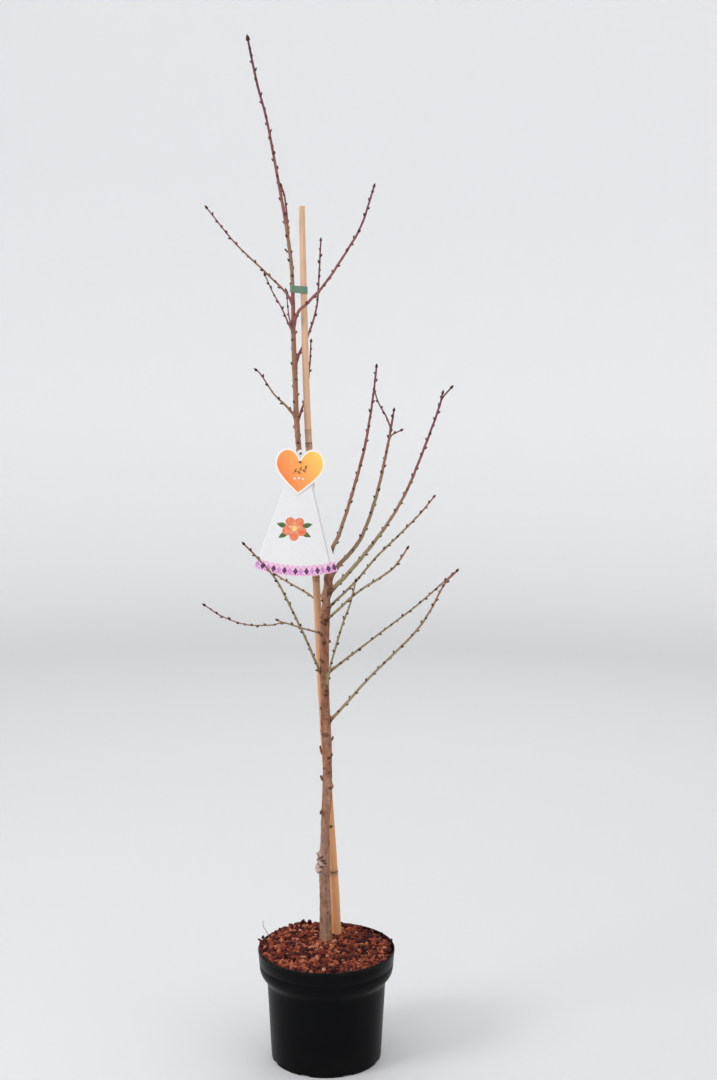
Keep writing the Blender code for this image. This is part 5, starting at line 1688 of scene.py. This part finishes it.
def drawn_in(outline, amount):
    """An outline drawn in by an even amount, with its corners kept."""
    area = sum(a[0] * b[1] - b[0] * a[1] for a, b in zip(outline, outline[1:] + outline[:1]))
    inward = amount if area > 0 else -amount
    moved = []
    for k, point in enumerate(outline):
        before = Vector(point) - Vector(outline[k - 1])
        after = Vector(outline[(k + 1) % len(outline)]) - Vector(point)
        first = Vector((-before.y, before.x)).normalized()
        second = Vector((-after.y, after.x)).normalized()
        middle = (first + second).normalized()
        moved.append(tuple(Vector(point) + middle * inward / max(0.5, middle.dot(first))))
    return moved


def holds(outline, point):
    """Whether a point is inside an outline."""
    found = False
    for (ax, ay), (bx, by) in zip(outline, outline[1:] + outline[:1]):
        if (ay > point[1]) != (by > point[1]):
            if point[0] < (bx - ax) * (point[1] - ay) / (by - ay) + ax:
                found = not found
    return found


def cut_sheet(outline, holes, prints):
    """Triangles of a sheet, split along its holes and prints, each with its ink's number."""
    points = []
    edges = []
    for shape in [outline] + holes + [shape for shape, ink in prints]:
        first = len(points)
        points += shape
        edges += [(first + k, first + (k + 1) % len(shape)) for k in range(len(shape))]
    xs = [x for x, y in outline]
    ys = [y for x, y in outline]
    inner = drawn_in(outline, 0.3 * CARD_GRID)
    for i in range(int((max(xs) - min(xs)) / CARD_GRID) + 1):
        for j in range(int((max(ys) - min(ys)) / CARD_GRID) + 1):
            spot = (min(xs) + (i + 0.5) * CARD_GRID, min(ys) + (j + 0.5) * CARD_GRID)
            if holds(inner, spot):
                points.append(spot)
    cut = delaunay_2d_cdt([Vector(p) for p in points], edges,
                          [list(range(len(outline)))], 1, 1e-6)
    triangles = []
    inks = []
    for face in cut[2]:
        corners = [cut[0][i] for i in face]
        middle = sum(corners, Vector((0, 0))) / len(corners)
        if not holds(outline, middle) or any(holds(hole, middle) for hole in holes):
            continue
        number = 0
        for shape, ink in prints:
            if holds(shape, middle):
                number = ink
        triangles.append(tuple(face))
        inks.append(number)
    return cut[0], triangles, inks


def make_card(name, outline, eyelets, prints, layer, turn, finishes):
    """A card cut from sheet: its printed front, its plain back and its cut edge."""
    holes = [ring_of(eye, EYELET_RADIUS, 20) for eye in eyelets]
    flat, triangles, inks = cut_sheet(outline, holes, prints)
    forward = layer * CARD_PITCH
    count = len(flat)
    vertices = [card_point(x, y, forward + CARD_WALL / 2, turn) for x, y in flat]
    vertices += [card_point(x, y, forward - CARD_WALL / 2, turn) for x, y in flat]
    a, b, c = (vertices[i] for i in triangles[0])
    if (b - a).cross(c - a).y > 0:
        triangles = [tuple(reversed(face)) for face in triangles]
    faces = list(triangles) + [tuple(i + count for i in reversed(face)) for face in triangles]
    numbers = inks + [0] * len(triangles)
    ways = {(face[k], face[(k + 1) % 3]) for face in triangles for k in range(3)}
    for start, end in sorted(ways):
        if (end, start) not in ways:
            faces.append((end, start, start + count, end + count))
            numbers.append(0)
    card = make_piece(name, vertices, faces)
    for finish in finishes:
        card.data.materials.append(finish)
    card.data.polygons.foreach_set("material_index", numbers)
    places = np.array([tuple(p) for p in flat] * 2, np.float32)
    corners = np.zeros(len(card.data.loops), np.int32)
    card.data.loops.foreach_get("vertex_index", corners)
    card.data.uv_layers.new(name="sheet").data.foreach_set("uv", places[corners].ravel())
    return card


def new_print(name, plain):
    """A printed sheet's finish, node tree and shader, and its flat coordinates."""
    finish, tree, shader = new_finish(name, plain, 0.34, 0.4)
    return finish, tree, shader, add_node(tree, "ShaderNodeUVMap", uv_map="sheet").outputs[0]


def gloss_over(tree, shader, colour, grain):
    """Printed sheet's colour, with a gloss that varies a little with its grain."""
    paint(tree, shader, colour, spread(tree, grain, 0.0, 1.0, 0.30, 0.40))
    bumped(tree, shader, grain, 0.04, 0.0001)


def ink_finish(name, plain, mottle):
    """Ink on glossy sheet: a colour mottled softly with a second one."""
    finish, tree, shader, sheet = new_print(name, plain)
    patches, grain = worn_grain(tree, sheet, 150.0, 1500.0)
    gloss_over(tree, shader, mix_colour(tree, patches, plain, mottle), grain)
    return finish


def heart_finish():
    """The heart's ground: orange at its left and tip, through to yellow at its right."""
    finish, tree, shader, sheet = new_print("ink_heart", HEART_PLAIN)
    ways = add_node(tree, "ShaderNodeSeparateXYZ", {0: sheet}).outputs
    lower = spread(tree, ways["Y"], HEART_EYE - 0.02, HEART_EYE + 0.055, 0.0, 0.052)
    slant = sums(tree, "SUBTRACT", ways["X"], lower)
    colour = ramp(tree, spread(tree, slant, -0.062, 0.038), HEART_COLOURS)
    patches, grain = worn_grain(tree, sheet, 60.0, 1500.0)
    colour = mix_colour(tree, sums(tree, "MULTIPLY", patches, 0.10), colour, HEART_MOTTLE)
    gloss_over(tree, shader, colour, grain)
    return finish


def polar(radius, degrees):
    """A point on a fan card, given from its apex. 0 degrees is straight down the card."""
    angle = math.radians(degrees)
    return (radius * math.sin(angle), radius * math.cos(angle))


def fan_prints():
    """A large open blossom with leaves, over a border of lozenges and scallops."""
    prints = []
    middle = (-2 * MM, 158 * MM)
    for turn in (-0.30, 0.42, 2.55, 3.35):
        base = (middle[0] + 14 * MM * math.cos(turn), middle[1] + 14 * MM * math.sin(turn))
        prints.append((leaf_of(base, 19 * MM, 9 * MM, turn), INK["ink_leaf"]))
    for k in range(5):
        turn = math.radians(90 + 72 * k)
        centre = (middle[0] + 12.5 * MM * math.cos(turn), middle[1] + 12.5 * MM * math.sin(turn))
        prints.append((ring_of(centre, 8.6 * MM, 22, 1.12, turn), INK["ink_coral"]))
    for k in range(5):
        turn = math.radians(126 + 72 * k)
        prints.append((leaf_of(middle, 13 * MM, 6.5 * MM, turn), INK["ink_petal"]))
    prints.append((ring_of(middle, 4.4 * MM, 18), INK["ink_yellow"]))
    top = FAN_RADIUS - FAN_BAND
    band = [polar(top, -20 + k) for k in range(41)]
    band += [polar(FAN_RADIUS + 0.006, 20 - k) for k in range(41)]
    prints.append((band, INK["ink_pink"]))
    for k in range(-7, 8):
        prints.append((ring_of(polar(top + 2.4 * MM, 2.4 * k), 3.9 * MM, 16), INK["ink_pink"]))
    for k in range(-8, 8):
        spot = polar(top + 9.4 * MM, 2.4 * k + 1.2)
        ink = (INK["ink_purple"], INK["ink_lilac"])[k % 2]
        turn = -math.radians(2.4 * k + 1.2)
        prints.append((ring_of(spot, 4.6 * MM, 4, 1.5, turn + math.pi / 2), ink))
    for k in range(-7, 8):
        prints.append((ring_of(polar(top + 14.6 * MM, 2.4 * k), 1.7 * MM, 12),
                       INK["ink_lilac"]))
    return prints


def heart_prints():
    """The coloured ground, with a leafy sprig and a row of small drops on it."""
    prints = [(drawn_in(heart_outline(), HEART_BORDER), INK["ink_heart"])]
    foot = (-13 * MM, HEART_EYE + 21 * MM)
    stalk = [(foot[0] + 27 * MM * k / 12, foot[1] - 10 * MM * math.sin(1.35 * k / 12))
             for k in range(13)]
    under = [(x, y + 0.8 * MM) for x, y in reversed(stalk)]
    prints.append((stalk + under, INK["ink_brown"]))
    for k, side in ((2, -1), (4, 1), (6, -1), (8, 1), (10, -1)):
        prints.append((leaf_of(stalk[k], 8.5 * MM, 3.6 * MM, -0.32 + side * 0.85),
                       INK["ink_brown"]))
    for k in range(3):
        spot = ((k - 1) * 7.5 * MM, HEART_EYE + (29.5 - 1.2 * (k % 2)) * MM)
        prints.append((ring_of(spot, 1.9 * MM, 14), 0))
    return prints


def swung_eyes(turn):
    """Where the shared punched holes fall on a card that is swung about the upper one."""
    apart = HEART_EYE - FAN_EYE
    return [(0, FAN_EYE), (-apart * math.sin(turn), FAN_EYE + apart * math.cos(turn))]


def bare_sheet(name, colour):
    """Sheet with no ink on it, very faintly mottled."""
    return ink_finish(name, colour, tuple(0.97 * value for value in colour))


finishes = [bare_sheet("card_sheet", CARD_WHITE)]
INK = {}
for ink_name, (plain, mottle) in INKS.items():
    INK[ink_name] = len(finishes)
    finishes.append(ink_finish(ink_name, plain, mottle))
INK["ink_heart"] = len(finishes)
finishes.append(heart_finish())
both_eyes = [(0, FAN_EYE), (0, HEART_EYE)]
front_prints = fan_prints()
rear_card = make_card("label_rear_fan", fan_outline(), swung_eyes(REAR_CARD_TURN), front_prints,
                      -1, REAR_CARD_TURN, finishes)
hand_over(rear_card, "label_back_leaf")
front_card = make_card("label_front_fan", fan_outline(), both_eyes, front_prints, 0, 0.0,
                       finishes)
hand_over(front_card, "label_front_leaf")
finishes[0] = bare_sheet("heart_edge", HEART_CREAM)
heart_card = make_card("label_heart_card", heart_outline(), both_eyes[1:], heart_prints(), 1,
                       0.0, finishes)
hand_over(heart_card, "label_heart")


# Label wire: thin plastic-covered wire, threaded through both eyelets and round the shoot.
# Each end is flattened to a small bead that holds the cards.
WIRE_RADIUS = 0.7 * MM
WIRE_BEAD_RADIUS = 2.1 * MM
WIRE_DARK = (0.050, 0.038, 0.030)
WIRE_WORN = (0.085, 0.065, 0.050)
# How far the wire's line runs past the cards in front and behind, and clear of the shoot.
WIRE_FRONT = 0.0022
WIRE_BEHIND = 0.0020
WIRE_CLEAR = 0.0022
# The bead's rings, as mm forward of its card and shares of its radius.
WIRE_BEAD = ((0.2, 0.80), (0.3, 0.96), (0.8, 1.0), (1.3, 0.92), (1.6, 0.70), (1.75, 0.35))


def wire_route():
    """From the front of the upper eyelet, round behind the shoot, and out of the lower."""
    level = card_point(0, (FAN_EYE + HEART_EYE) / 2, 0, 0).z
    x, y, diameter = point_at(trunk_rows, level, (0, 1, 3))
    loop = diameter / 2 + WIRE_CLEAR
    front = CARD_PITCH + WIRE_FRONT
    behind = -CARD_PITCH - WIRE_BEHIND
    upper = [card_point(0, FAN_EYE, forward, 0) for forward in (front, 0, behind)]
    lower = [card_point(0, HEART_EYE, forward, 0) for forward in (behind, 0, front)]
    turns = []
    for k in range(7):
        angle = math.radians(-20 + 220 * k / 6)
        turns.append(Vector((x + loop * math.cos(angle), y + loop * math.sin(angle),
                             upper[1].z + (lower[1].z - upper[1].z) * k / 6)))
    return [(*point, 2 * WIRE_RADIUS) for point in upper + turns + lower]


def wire_bead(eye, layer):
    """A flattened end: a round-edged button on the front of the card."""
    outer = layer * CARD_PITCH + CARD_WALL / 2
    rows = [(*card_point(0, eye, outer + forward * MM, 0), 2 * WIRE_BEAD_RADIUS * share)
            for forward, share in WIRE_BEAD]
    return make_stem(np.array(rows), 16)


wire_stem = make_stem(smooth_route(wire_route(), 0.0010), 12)
wire_cover = mottled_finish("wire_cover", WIRE_DARK, (WIRE_DARK, WIRE_WORN), (0.5, 0.4),
                            (300.0, 1800.0), (0.2, 0.0002))
label_wire = skinned("label_wire_loop",
                     [wire_stem, wire_bead(FAN_EYE, 0), wire_bead(HEART_EYE, 1)], wire_cover)
hand_over(label_wire, "label_wire")
